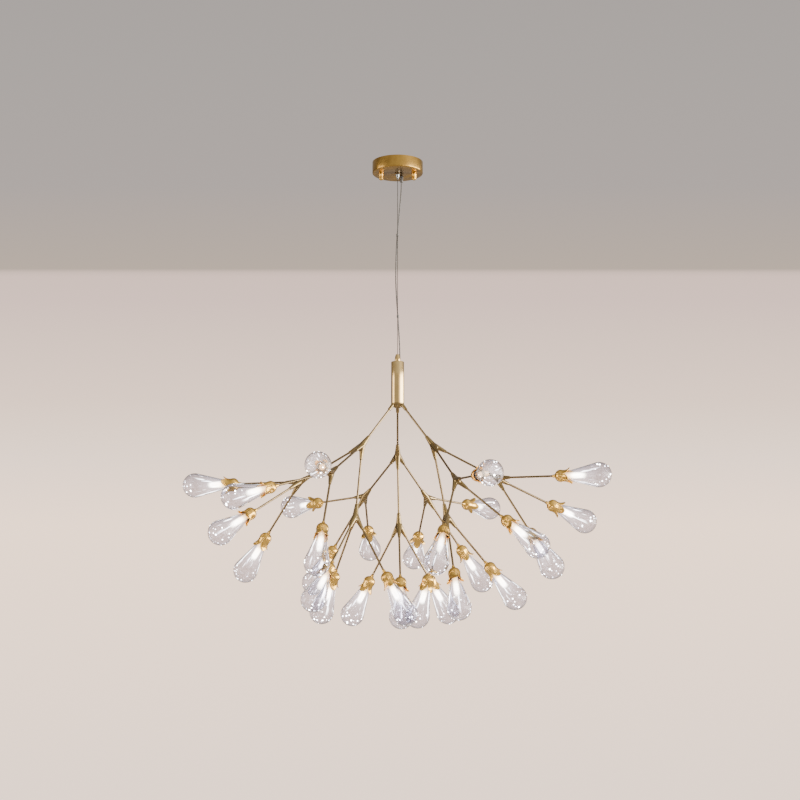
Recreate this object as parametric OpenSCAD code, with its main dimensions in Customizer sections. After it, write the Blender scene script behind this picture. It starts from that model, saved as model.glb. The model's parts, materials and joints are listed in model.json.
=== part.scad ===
// Branch chandelier. A round ceiling canopy carries a steel wire and a clear
// cord; a brass column hangs on them, and three rods fork twice below it into
// twenty-seven petal lampholders, each with a teardrop glass lamp.
// Millimetres. The origin is the middle of the canopy, in the plane of the
// ceiling; +Z is up, so everything hangs below it, and the front faces -Y.

/* [Canopy] */
// Diameter of the ceiling canopy
canopy_d = 120; // [116:1:160]
// Height of the canopy, from the ceiling to its face
canopy_h = 28; // [27:0.5:40]
// Thickness of the spun sheet
canopy_wall = 1.2; // [0.8:0.1:1.6]
// Outer radius of the edge between side and face
canopy_edge_r = 2.6; // [2:0.1:6]
// Distance between the two canopy screws
stud_spacing = 78; // [74:1:86]

/* [Ceiling bracket] */
// Width of the steel strip
bracket_w = 20; // [16:1:24]
// Thickness of the steel strip
bracket_t = 1.5; // [1.2:0.1:2]
// Length of the middle that lies on the ceiling
bracket_flat = 60; // [58:1:64]
// How far the ends step down, to clear the screw heads
bracket_step = 4; // [3.8:0.1:6]
// Length of strip past each canopy screw
bracket_end = 9; // [6:0.5:10]
// Distance between the middles of the two ceiling slots
slot_spacing = 40; // [38:1:42]
// Length of a ceiling slot, end to end
slot_l = 16; // [10:0.5:17]
// Width of a ceiling slot
slot_w = 4.5; // [4:0.1:6]

/* [Canopy screws] */
// Diameter of the canopy screws
stud_d = 4; // [3:0.5:5]
// Diameter of the screw heads
stud_head_d = 7; // [6:0.1:9]
// Height of the screw heads
stud_head_h = 2.6; // [2:0.1:3.5]
// Diameter of the domed cap nuts
cap_nut_d = 12; // [10:0.5:14]
// Height of the cap nuts, with their domes
cap_nut_h = 16; // [13:0.5:20]
// Flutes round each cap nut, for the fingers
cap_nut_flutes = 14; // [8:1:18]

/* [Wire gripper] */
// Diameter of the threaded shank that passes through the canopy
gripper_shank_d = 9.8; // [9:0.1:11]
// Height of the shank inside the canopy
gripper_shank_h = 14; // [12:0.5:15]
// Diameter of the collar under the canopy
gripper_collar_d = 12; // [11:0.5:16]
// Height of the collar
gripper_collar_h = 2.5; // [2:0.5:4]
// Length of the tapered nose below the collar
gripper_nose_h = 5.5; // [4:0.5:8]
// Diameter of the nose at its mouth
gripper_nose_d = 7.6; // [7:0.1:8.6]
// Diameter of the release plunger
plunger_d = 5.4; // [4.6:0.1:5.6]
// Length of plunger that stands out of the nose
plunger_out = 3.5; // [3:0.5:5]
// How far the plunger is pushed in to let the wire go
plunger_travel = 2; // [1:0.25:2.5]
// Diameter of the plunger's flange, which the spring presses on
plunger_flange_d = 7; // [6.6:0.1:7.2]

/* [Suspension] */
// Distance from the canopy's face to the top of the column
drop = 457; // [400:1:900]
// Diameter of the steel wire
wire_d = 1.5; // [1.2:0.1:1.6]
// Diameter of the ball on the wire's lower end
wire_ball_d = 5.2; // [4.6:0.1:5.4]
// Diameter of the clear power cord
cord_d = 3; // [2.4:0.1:3.4]
// Where the cord leaves the canopy, to the right of the middle
cord_exit_x = 9; // [8:0.5:12]
// Where the cord leaves the canopy, behind the middle
cord_exit_y = 22; // [18:0.5:26]
// Outer diameter of the cord's strain relief
boot_d = 8; // [7.5:0.1:10]
// Length of the strain relief below the canopy
boot_h = 14; // [12:0.5:20]
// Height of each clip that ties the cord to the wire
tie_h = 6; // [4:0.5:10]

/* [Column] */
// Outer diameter of the column
column_d = 30.2; // [29:0.2:36]
// Length of the column, with its rounded foot
column_h = 103.5; // [90:0.5:140]
// Wall of the column's tube
column_wall = 1.3; // [1:0.1:1.4]
// Chamfer round the top of the tube
column_chamfer = 0.6; // [0.3:0.1:0.8]
// Thickness of the plate that closes the top
plate_t = 4; // [3:0.5:6]
// Radius round the foot of the column
foot_r = 5; // [3:0.5:6]
// Depth of the shallow dome under the foot, where the rods leave
foot_dome = 6.5; // [3:0.5:8]
// Diameter of the bullet-shaped cap
cap_d = 13; // [12:0.5:13.5]
// Height of the cap above the column
cap_h = 18; // [16:0.5:24]
// Diameter of the cap's blunt tip
cap_tip_d = 8; // [7:0.5:9]

/* [Branches] */
// Diameter of every rod
rod_d = 4.8; // [4.2:0.1:5]
// Bore of every rod, for the lamp wires
rod_bore = 3; // [2:0.1:3.2]
// Main rod, from the hub's middle to the fork's middle
main_len = 149; // [130:1:180]
// Branch rod, from fork to fork
branch_len = 164; // [140:1:200]
// Twig, from the fork's middle to the petal cup
twig_len = 138; // [120:1:160]
// Lean of the three main rods from straight down
main_tilt = 38.5; // [37:0.5:42]
// Lean of every twig from its branch
twig_bend = 32; // [30:0.5:34]

/* [Forks] */
// Length of the fork's tail above its middle
fork_tail = 27.5; // [26:0.5:34]
// Diameter of the tail's open end
fork_tail_d = 7.5; // [7:0.1:9]
// Diameter of the fork at its middle
fork_body_d = 14.6; // [13:0.1:16]
// Length of each arm below the middle
fork_arm = 35; // [32:0.5:40]
// Diameter of each arm's open end
fork_end_d = 6.8; // [6.6:0.1:8]
// Diameter of the web between the arms
fork_web_d = 16.8; // [15:0.1:18]
// Depth of the sockets that the rods stand in
socket_depth = 12; // [8:0.5:14]

/* [Hub] */
// Height of the point where the rods' axes meet, above the column's foot
hub_rise = 16.5; // [15:0.5:18]
// Length of each hub arm from that point
hub_arm = 36; // [34:0.5:42]
// Diameter of a hub arm at its open end
hub_arm_d = 7.5; // [7:0.1:8.5]

/* [Petal cup] */
// Petals on each cup
petals = 4; // [3:1:6]
// Diameter of the round part of the cup
cup_d = 25; // [24.6:0.1:28]
// Thickness of the petals
petal_wall = 1.2; // [0.9:0.1:1.3]
// Height of the middle of the round part above the neck's end
cup_rise = 19.5; // [19:0.1:21]
// Radius of the outward curl of the petals
curl_r = 22; // [20:0.5:24]
// Angle at which the curl begins, above the round part's middle
curl_start = 13; // [11:1:16]
// Angle through which the petals curl outwards
curl_sweep = 60; // [50:1:64]
// Width of a petal where it is widest
petal_w = 17.8; // [15:0.1:18.2]
// Width of a petal's blunt tip
petal_tip = 1; // [0.6:0.1:2]
// Width of the gap between two petals where it begins
petal_gap = 1.2; // [1:0.1:2]
// Height above the neck's end at which the gaps begin
petal_gap_z = 19.5; // [18:0.5:21]
// Diameter of the neck where the twig enters
neck_d = 6.8; // [6.6:0.1:8]
// Depth of the socket in the neck
neck_socket = 8; // [6:0.5:8]
// Height of the floor that the lampholder stands on
floor_z = 11; // [10.5:0.1:12]

/* [Lamp] */
// Diameter of the glass drop
glass_d = 56; // [50:1:58]
// Distance from the neck's end to the tip of the glass
glass_end = 138; // [125:1:150]
// Diameter of the glass where it meets its base
glass_neck_d = 17.4; // [16.4:0.1:17.8]
// Thickness of the glass
glass_wall = 1; // [0.8:0.1:1.4]
// Length of the glass's straight neck
glass_neck_h = 7; // [5:0.5:9]
// Diameter of the lampholder
holder_d = 17; // [15:0.1:18]
// Height of the lampholder
holder_h = 11.3; // [9:0.1:11.6]
// Height of the lamp base's flange
base_flange_h = 1.4; // [1:0.1:2]
// Height of the lamp base inside the glass
base_plug_h = 6.5; // [4:0.5:8]
// Diameter of the light capsule
capsule_d = 14.4; // [12:0.1:14.6]
// Length of the light capsule
capsule_h = 52; // [40:1:58]
// Distance between the lamp's two pins
pin_spacing = 4; // [3:0.5:6]
// Diameter of a lamp pin
pin_d = 1; // [0.7:0.1:1.2]
// Length of a lamp pin
pin_h = 7; // [5:0.5:8]

/* [Fits] */
// Radial clearance of a rod in its socket
rod_fit = 0.05; // [0.02:0.01:0.1]
// Radial clearance of a piece that slides or turns
run_fit = 0.1; // [0.05:0.01:0.1]
// Radial clearance of a screw or a shank in a plain hole
hole_fit = 0.2; // [0.1:0.05:0.3]

/* [Hidden] */
eps = 0.01;
// How the branching is turned: the lists run over the left, back and right
// main rods, and inside them over the lower arm and the two that follow it.
main_azimuth = [210, 90, 330];
main_roll = [-1, -2, 16];
branch_bend = [[33, 33, 30], [32, 33, 30], [32, 28, 31]];
branch_roll = [[33, 113, 100], [1, 10, 103], [114, 67, 84]];
arm_step = 120;

face_z = -canopy_h;
nose_z = face_z - gripper_collar_h - gripper_nose_h;
pivot_z = nose_z - plunger_out;
column_top = face_z - drop;
foot_z = column_top - column_h;
hub_z = foot_z + hub_rise;
tube_d = column_d - 2 * column_wall;
ball_z = column_top + 7;
ball_gap = wire_ball_d / 2 + run_fit;
grommet_x = 5.4;
grommet_y = 8.4;
grommet_d = cord_d + 2.8;
grommet_rim_d = grommet_d + 1;
grommet_spigot_d = grommet_d + 0.8;
grommet_rim = 0.9;
cap_spigot_d = 9;
bell_d = 4.9;

// Plunger, spring and wire inside the gripper.
stop_z = nose_z + 2;
chamber_top = face_z + 8;
plunger_flange_h = 1.5;
plunger_stem_d = 3.8;
spring_d = plunger_flange_d - 0.6;
spring_wire = 0.8;
wire_top = -6;

// The cord between the canopy and the column, in x, y and the share of the drop.
cord_start = face_z - 5;
cord_stop = column_top - 0.6;
cord_middle = [
    [9, 22, 0.02], [8.8, 21, 0.05], [8.1, 18.6, 0.085], [6.9, 15.4, 0.125],
    [5.2, 11.8, 0.17], [3.4, 8.2, 0.22], [1.2, 4.8, 0.275], [-0.8, 2.8, 0.33],
    [-2.3, 2.9, 0.385], [-3.5, 3.6, 0.445], [-4.2, 4.1, 0.51], [-4.1, 4, 0.58],
    [-2.8, 3.3, 0.65], [-1, 2.7, 0.71], [0.6, 2.8, 0.76], [2.1, 3.7, 0.81],
    [3.5, 5.2, 0.86], [4.6, 7, 0.91], [5.3, 8.2, 0.96]
];
tie_points = [7, 14];
cord_sides = 8;
cord_steps = 3;
boot_flange_h = 1.5;
tie_play = 0.3;

// Petal cup: the round part ends at curl_start, where the curl takes over.
cup_r = cup_d / 2;
curl_x = (cup_r + curl_r) * cos(curl_start);
curl_z = cup_rise + (cup_r + curl_r) * sin(curl_start);
curl_end = 180 + curl_start - curl_sweep;
tip_x = curl_x + curl_r * cos(curl_end);
tip_z = curl_z + curl_r * sin(curl_end);
neck_top_d = 10;
neck_h = 9;
petal_steps = 9;
gap_start = asin((petal_gap_z - cup_rise) / cup_r);
round_part = cup_r * (curl_start - gap_start) * PI / 180;
petal_l = round_part + curl_r * curl_sweep * PI / 180;

// Lamp: the base stands on the holder, and the glass on the base's flange.
base_z = floor_z + holder_h;
bowl_r = cup_r - petal_wall;
holder_reach = holder_d / 2 + 2 * run_fit;
holder_foot_h = max(cup_rise - sqrt(bowl_r * bowl_r - holder_reach * holder_reach) - floor_z, 0.3);
holder_foot_r = min(sqrt(bowl_r * bowl_r - pow(cup_rise - floor_z, 2)), holder_reach) - 2 * run_fit;
rim_z = base_z + base_flange_h;
plug_d = glass_neck_d - 2 * glass_wall - 2 * run_fit;
plug_top = rim_z + base_plug_h;
glass_mid_z = glass_end - glass_d / 2;

LEFT = 0;
BACK = 1;
RIGHT = 2;

// ---- Places along the branching ----

// Middle of the hub, with +Z running out along one main rod.
module along_main(i) {
    translate([0, 0, hub_z])
        rotate([0, 0, main_azimuth[i]])
            rotate([0, 180 - main_tilt, 0])
                children();
}

module at_main_fork(i) {
    along_main(i)
        translate([0, 0, main_len])
            rotate([0, 0, main_roll[i]])
                children();
}

// Middle of a main fork, with +Z running out along one branch rod.
module along_branch(i, k) {
    at_main_fork(i)
        rotate([0, 0, arm_step * k])
            rotate([0, branch_bend[i][k], 0])
                children();
}

module at_branch_fork(i, k) {
    along_branch(i, k)
        translate([0, 0, branch_len])
            rotate([0, 0, branch_roll[i][k]])
                children();
}

// Middle of a branch fork, with +Z running out along one twig.
module along_twig(i, k, j) {
    at_branch_fork(i, k)
        rotate([0, 0, arm_step * j])
            rotate([0, twig_bend, 0])
                children();
}

// End of a twig, where the neck of a petal cup begins.
module at_lamp(i, k, j) {
    along_twig(i, k, j)
        translate([0, 0, twig_len])
            children();
}

module at_cluster(i, k) {
    for (j = [0:2])
        at_lamp(i, k, j)
            children();
}

module at_all_lamps(i) {
    for (k = [0:2])
        at_cluster(i, k)
            children();
}

// ---- General shapes ----

module tube(d, bore, h) {
    difference() {
        cylinder(d = d, h = h, $fn = 48);
        translate([0, 0, -eps])
            cylinder(d = bore, h = h + 2 * eps, $fn = 32);
    }
}

// Half outline of a cup that opens upwards at z 0 and has a rounded lower edge.
module cup_outline(r, h, edge) {
    translate([0, -h])
        square([r - edge, h]);
    translate([0, edge - h])
        square([r, h - edge]);
    translate([r - edge, edge - h])
        circle(r = edge, $fn = 48);
}

// ---- Ceiling group ----

module canopy_shell() {
    rotate_extrude($fn = 128)
        intersection() {
            difference() {
                cup_outline(canopy_d / 2, canopy_h, canopy_edge_r);
                translate([-eps, eps])
                    cup_outline(canopy_d / 2 - canopy_wall + eps, canopy_h - canopy_wall + eps,
                                canopy_edge_r - canopy_wall);
            }
            translate([0, -canopy_h])
                square([canopy_d, canopy_h]);
        }
}

module face_hole(x, y, d) {
    translate([x, y, face_z - 1])
        cylinder(d = d, h = canopy_wall + 2, $fn = 48);
}

module canopy() {
    color([0.66, 0.47, 0.17])
        difference() {
            canopy_shell();
            for (side = [-1, 1])
                face_hole(side * stud_spacing / 2, 0, stud_d + 2 * hole_fit);
            face_hole(0, 0, gripper_shank_d + 2 * hole_fit);
            face_hole(cord_exit_x, cord_exit_y, boot_d + 2 * run_fit);
        }
}

// Side outline of one half of the strip, flat and then stepped down.
module strip_outline() {
    slope = bracket_step;
    flat = bracket_flat / 2;
    end = stud_spacing / 2 + bracket_end;
    polygon([
        [0, 0], [flat, 0], [flat + slope, -bracket_step], [end, -bracket_step],
        [end, -bracket_step - bracket_t], [flat + slope - bracket_t / 2, -bracket_step - bracket_t],
        [flat - bracket_t / 2, -bracket_t], [0, -bracket_t]
    ]);
}

module slot_cut(length, width) {
    for (end = [-1, 1])
        translate([end * (length - width) / 2, 0, -bracket_t - 1])
            cylinder(d = width, h = bracket_t + 2, $fn = 32);
    translate([-(length - width) / 2, -width / 2, -bracket_t - 1])
        cube([length - width, width, bracket_t + 2]);
}

module ceiling_bracket() {
    color([0.72, 0.73, 0.74])
        difference() {
            for (side = [0, 1])
                mirror([side, 0, 0])
                    rotate([90, 0, 0])
                        translate([0, 0, -bracket_w / 2])
                            linear_extrude(bracket_w)
                                strip_outline();
            for (side = [-1, 1]) {
                translate([side * slot_spacing / 2, 0, 0])
                    slot_cut(slot_l, slot_w);
                translate([side * stud_spacing / 2, 0, -bracket_step - bracket_t - 1])
                    cylinder(d = stud_d + 2 * rod_fit, h = bracket_t + 2, $fn = 32);
            }
        }
}

stud_end = face_z - cap_nut_h + 5;

module canopy_studs() {
    color([0.75, 0.76, 0.77])
        for (side = [-1, 1])
            translate([side * stud_spacing / 2, 0, 0])
                difference() {
                    union() {
                        translate([0, 0, stud_end])
                            cylinder(d = stud_d, h = -bracket_step - stud_end, $fn = 32);
                        translate([0, 0, -bracket_step])
                            cylinder(d = stud_head_d, h = stud_head_h, $fn = 32);
                    }
                    translate([-stud_head_d, -0.5, stud_head_h - bracket_step - 1])
                        cube([2 * stud_head_d, 1, 2]);
                }
}

// Outline of the cap nut: a foot flange, the gripping part and a dome.
module cap_nut_outline() {
    r = cap_nut_d / 2;
    flange_h = 1.6;
    dome_z = cap_nut_h - 5;
    difference() {
        union() {
            square([r, flange_h]);
            square([r - 0.7, dome_z]);
            intersection() {
                translate([0, dome_z - 1.5])
                    circle(r = 6.5, $fn = 96);
                translate([0, dome_z - eps])
                    square([r - 0.7, 5 + eps]);
            }
        }
        translate([-eps, -eps])
            square([stud_d / 2 + rod_fit + eps, cap_nut_h - 5 + 2 * eps]);
    }
}

module canopy_nuts() {
    flute_d = 1.2;
    color([0.78, 0.58, 0.22])
        for (side = [-1, 1])
            translate([side * stud_spacing / 2, 0, face_z])
                mirror([0, 0, 1])
                    difference() {
                        rotate_extrude($fn = 64)
                            cap_nut_outline();
                        for (a = [0:360 / cap_nut_flutes:359])
                            rotate([0, 0, a])
                                translate([cap_nut_d / 2 - 0.5, 0, 1.6])
                                    cylinder(d = flute_d, h = cap_nut_h - 6.6, $fn = 16);
                    }
}

// The gripper's body: a threaded shank above the canopy's face, a collar under
// it and a tapered nose. A chamber inside holds the plunger and its spring.
module gripper_body() {
    shank_top = face_z + gripper_shank_h;
    color([0.8, 0.81, 0.83])
        difference() {
            union() {
                translate([0, 0, face_z])
                    cylinder(d = gripper_shank_d, h = gripper_shank_h, $fn = 64);
                translate([0, 0, face_z - gripper_collar_h])
                    cylinder(d = gripper_collar_d, h = gripper_collar_h, $fn = 64);
                translate([0, 0, nose_z])
                    cylinder(d1 = gripper_nose_d, d2 = gripper_shank_d, h = gripper_nose_h, $fn = 64);
            }
            translate([0, 0, nose_z - 1])
                cylinder(d = plunger_d + 2 * run_fit, h = 4, $fn = 48);
            translate([0, 0, stop_z])
                cylinder(d = plunger_flange_d + 2 * run_fit, h = chamber_top - stop_z, $fn = 48);
            translate([0, 0, chamber_top - 1])
                cylinder(d = wire_d + 4 * run_fit, h = shank_top - chamber_top + 2, $fn = 32);
        }
}

module gripper_nut() {
    nut_h = 4;
    color([0.75, 0.76, 0.78])
        translate([0, 0, face_z + canopy_wall])
            difference() {
                cylinder(d = gripper_shank_d * 1.55, h = nut_h, $fn = 6);
                translate([0, 0, -1])
                    cylinder(d = gripper_shank_d + 2 * rod_fit, h = nut_h + 2, $fn = 64);
            }
}

module gripper_plunger() {
    color([0.85, 0.86, 0.88])
        difference() {
            union() {
                translate([0, 0, pivot_z])
                    cylinder(d = plunger_d, h = stop_z - pivot_z + eps, $fn = 48);
                translate([0, 0, stop_z])
                    cylinder(d = plunger_flange_d, h = plunger_flange_h, $fn = 48);
                translate([0, 0, stop_z])
                    cylinder(d = plunger_stem_d, h = plunger_flange_h + 3, $fn = 48);
            }
            translate([0, 0, pivot_z - 1])
                cylinder(d = wire_d + 4 * run_fit, h = 20, $fn = 32);
        }
}

// The plunger's spring, hidden in the chamber, as a plain sleeve of its size.
module gripper_spring() {
    spring_foot = stop_z + plunger_flange_h;
    color([0.6, 0.61, 0.63])
        translate([0, 0, spring_foot])
            tube(spring_d, spring_d - 2 * spring_wire, chamber_top - spring_foot);
}

module wire_tail() {
    color([0.8, 0.81, 0.82])
        translate([0, 0, pivot_z])
            cylinder(d = wire_d, h = wire_top - pivot_z, $fn = 24);
}

// Strain relief: a flange inside the canopy, a tight bore at the top that
// holds the tail, and a wide mouth in which the hanging cord can swing.
module cord_boot() {
    mouth_z = face_z - boot_h;
    grip_h = 2.5;
    color([0.86, 0.86, 0.84])
        translate([cord_exit_x, cord_exit_y, 0])
            difference() {
                union() {
                    translate([0, 0, face_z + canopy_wall])
                        cylinder(d = boot_d + 3, h = boot_flange_h, $fn = 48);
                    translate([0, 0, face_z])
                        cylinder(d = boot_d, h = canopy_wall + eps, $fn = 48);
                    translate([0, 0, mouth_z])
                        cylinder(d1 = boot_d - 1, d2 = boot_d + 1.4, h = boot_h, $fn = 48);
                }
                translate([0, 0, mouth_z - 1])
                    cylinder(d = cord_d + 2.6, h = boot_h + 1 - grip_h, $fn = 48);
                translate([0, 0, mouth_z])
                    cylinder(d = cord_d + 2 * rod_fit, h = boot_h + 10, $fn = 48);
            }
}

block_l = 30;
block_w = 17;
block_h = 14;
block_entry = 8.6;
block_x = cord_exit_x - 13;

// The cord inside the canopy: up out of the strain relief and over into the
// terminal block.
module cord_tail() {
    entry_z = face_z + canopy_wall + block_entry;
    bend = block_entry - boot_flange_h - 0.2;
    color([0.85, 0.85, 0.83])
        translate([cord_exit_x, cord_exit_y, 0]) {
            translate([0, 0, face_z - 2])
                cylinder(d = cord_d, h = entry_z - bend - face_z + 2, $fn = 24);
            translate([-bend, 0, entry_z - bend])
                rotate([90, 0, 0])
                    rotate_extrude(angle = 90, $fn = 48)
                        translate([bend, 0])
                            circle(d = cord_d, $fn = 24);
            translate([-13, 0, entry_z])
                rotate([0, 90, 0])
                    cylinder(d = cord_d, h = 13 - bend, $fn = 24);
        }
}

// Three-way terminal block on the canopy's floor, with screw wells on top and
// a wire hole at each end of every way.
module terminal_block() {
    ways = 3;
    pitch = block_w / ways;
    color([0.93, 0.93, 0.91])
        translate([block_x - block_l, cord_exit_y - block_w / 2, face_z + canopy_wall])
            difference() {
                cube([block_l, block_w, block_h]);
                for (way = [0:ways - 1]) {
                    for (end = [-1, 1])
                        translate([block_l / 2 + end * block_l / 4, (way + 0.5) * pitch, block_entry + 2])
                            cylinder(d = 3.6, h = block_h, $fn = 24);
                    if (way != 1)
                        translate([-1, (way + 0.5) * pitch, block_entry - 1])
                            rotate([0, 90, 0])
                                cylinder(d = 3, h = block_l + 2, $fn = 24);
                }
            }
}

// ---- Suspension ----

module suspension_wire() {
    start = pivot_z - 0.4;
    color([0.82, 0.83, 0.84]) {
        translate([0, 0, ball_z])
            cylinder(d = wire_d, h = start - ball_z, $fn = 24);
        translate([0, 0, ball_z])
            sphere(d = wire_ball_d, $fn = 48);
    }
}

// Points of the cord's route from the strain relief to the column.
cord_points = concat(
    [[cord_exit_x, cord_exit_y, cord_start]],
    [for (p = cord_middle) [p.x, p.y, face_z - p.z * drop]],
    [[grommet_x, grommet_y, cord_stop]]
);

// A smooth curve through the points: Catmull-Rom, with the ends repeated.
function route_point(p, i, t) =
    let (
        n = len(p) - 1,
        a = p[max(i - 1, 0)],
        b = p[i],
        c = p[min(i + 1, n)],
        d = p[min(i + 2, n)]
    )
    0.5 * (2 * b + (c - a) * t + (2 * a - 5 * b + 4 * c - d) * t * t + (3 * b - a - 3 * c + d) * t * t * t);

function route(p, steps) = concat(
    [for (i = [0:len(p) - 2]) for (s = [0:steps - 1]) route_point(p, i, s / steps)],
    [p[len(p) - 1]]
);

function unit(v) = v / norm(v);

// Rings square to the route; it never runs level, so X serves as the guide.
function ring(at, along, r, sides) =
    let (u = unit(cross([0, 1, 0], along)), v = cross(along, u))
    [for (s = [0:sides - 1]) at + r * (u * cos(360 * s / sides) + v * sin(360 * s / sides))];

module swept_cord(p, d, sides) {
    n = len(p);
    points = [
        for (i = [0:n - 1])
            let (along = i == 0 || i == n - 1 ? [0, 0, -1] : unit(p[i + 1] - p[i - 1]))
            each ring(p[i], along, d / 2, sides)
    ];
    walls = [
        for (i = [0:n - 2]) for (s = [0:sides - 1])
            let (a = i * sides + s, b = i * sides + (s + 1) % sides)
            each [[a, b, b + sides], [a, b + sides, a + sides]]
    ];
    top = [for (s = [1:sides - 2]) [0, s + 1, s]];
    last = (n - 1) * sides;
    foot = [for (s = [1:sides - 2]) [last, last + s, last + s + 1]];
    polyhedron(points = points, faces = concat(walls, top, foot));
}

module power_cord() {
    color([0.86, 0.87, 0.86])
        swept_cord(route(cord_points, cord_steps), cord_d, cord_sides);
}

// Clear clips that tie the cord to the wire: one bore each, joined by a web.
module cord_ties() {
    wall = 1.2;
    color([0.9, 0.91, 0.9])
        for (n = tie_points) {
            at = cord_points[n + 1];
            turn = atan2(at.y, at.x);
            gap = norm([at.x, at.y]);
            translate([0, 0, at.z - tie_h / 2])
                rotate([0, 0, turn])
                    difference() {
                        union() {
                            cylinder(d = wire_d + 2 * wall, h = tie_h, $fn = 32);
                            translate([gap, 0, 0])
                                cylinder(d = cord_d + 2 * wall, h = tie_h, $fn = 32);
                            translate([0, -wire_d / 2 - wall, 0])
                                cube([gap, wire_d + 2 * wall, tie_h]);
                        }
                        translate([0, 0, -1])
                            cylinder(d = wire_d, h = tie_h + 2, $fn = 32);
                        translate([gap, 0, -1])
                            cylinder(d = cord_d + 2 * tie_play, h = tie_h + 2, $fn = 32);
                    }
        }
}

// ---- Column ----

// Bullet outline: a straight part under an arc that meets it smoothly and ends
// in a blunt tip.
module bullet_outline(r, tip_r, h) {
    straight = h * 0.3;
    rise = h - straight;
    shift = (rise * rise / (r - tip_r) - r - tip_r) / 2;
    square([r, straight]);
    intersection() {
        translate([-shift, straight])
            circle(r = r + shift, $fn = 128);
        translate([0, straight - eps])
            square([r, rise + eps]);
    }
}

// Cap of the column: a seat under its crown holds the wire's ball, a bell mouth
// above lets the wire lean, and a spigot below stands in the top plate.
module column_cap() {
    throat_d = wire_d + 2.2;
    throat_z = ball_z + ball_gap * 0.86;
    color([0.76, 0.57, 0.25])
        difference() {
            union() {
                translate([0, 0, column_top])
                    rotate_extrude($fn = 96)
                        bullet_outline(cap_d / 2, cap_tip_d / 2, cap_h);
                translate([0, 0, column_top - plate_t])
                    cylinder(d = cap_spigot_d, h = plate_t + eps, $fn = 64);
            }
            translate([0, 0, throat_z])
                cylinder(d1 = throat_d, d2 = bell_d, h = column_top + cap_h - throat_z, $fn = 48);
            translate([0, 0, ball_z])
                sphere(r = ball_gap, $fn = 64);
            translate([0, 0, column_top - plate_t - 1])
                cylinder(r = ball_gap, h = ball_z - column_top + plate_t + 1, $fn = 48);
        }
}

module column_plate() {
    color([0.74, 0.56, 0.26])
        difference() {
            translate([0, 0, column_top - plate_t])
                cylinder(d = tube_d - 2 * rod_fit, h = plate_t, $fn = 96);
            translate([0, 0, column_top - plate_t - 1])
                cylinder(d = cap_spigot_d + 2 * rod_fit, h = plate_t + 2, $fn = 64);
            translate([grommet_x, grommet_y, column_top - plate_t - 1])
                cylinder(d = grommet_spigot_d + 2 * rod_fit, h = plate_t + 2, $fn = 48);
        }
}

module column_tube() {
    color([0.76, 0.58, 0.27])
        translate([0, 0, foot_z + foot_r])
            rotate_extrude($fn = 128)
                difference() {
                    square([column_d / 2, column_h - foot_r]);
                    translate([-eps, -eps])
                        square([tube_d / 2 + eps, column_h]);
                    translate([column_d / 2, column_h - foot_r])
                        rotate([0, 0, 45])
                            square(column_chamfer * sqrt(2), center = true);
                }
}

// Clear bush where the cord enters the column, with a thin rim on the plate.
module column_grommet() {
    color([0.85, 0.85, 0.83])
        translate([grommet_x, grommet_y, 0])
            difference() {
                union() {
                    translate([0, 0, column_top])
                        cylinder(d = grommet_rim_d, h = grommet_rim, $fn = 48);
                    translate([0, 0, column_top - plate_t])
                        cylinder(d = grommet_spigot_d, h = plate_t + eps, $fn = 48);
                }
                translate([0, 0, column_top - plate_t - 1])
                    cylinder(d = grommet_d, h = plate_t + grommet_rim + 2, $fn = 48);
            }
}

splice_d = 20;
splice_h = 38;
splice_foot = hub_z;

// Block of spring connectors that stands on the hub inside the column: a ring
// of wire holes runs round the hole for the supply lead.
module splice_block() {
    ways = 9;
    color([0.9, 0.9, 0.88])
        translate([0, 0, splice_foot])
            difference() {
                cylinder(d = splice_d, h = splice_h, $fn = 64);
                for (way = [0:ways - 1])
                    rotate([0, 0, 360 * way / ways])
                        translate([splice_d / 2 - 2.6, 0, splice_h - 10])
                            cylinder(d = 2.4, h = 12, $fn = 24);
                translate([0, 0, -1])
                    cylinder(d = 5, h = 12, $fn = 32);
            }
}

// The supply lead inside the column, from the bush down into the splice block.
module column_lead() {
    lead_top = column_top - plate_t - 2;
    lead_foot = splice_foot + splice_h;
    lean = [-grommet_x * 0.55, -grommet_y * 0.55, lead_foot - lead_top];
    color([0.85, 0.85, 0.83])
        translate([grommet_x, grommet_y, 0])
            swept_cord([
                for (s = [0:6])
                    let (t = s / 6, ease = t * t * (3 - 2 * t))
                    [lean.x * ease, lean.y * ease, lead_top + lean.z * t]
            ], cord_d, cord_sides);
}

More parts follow.
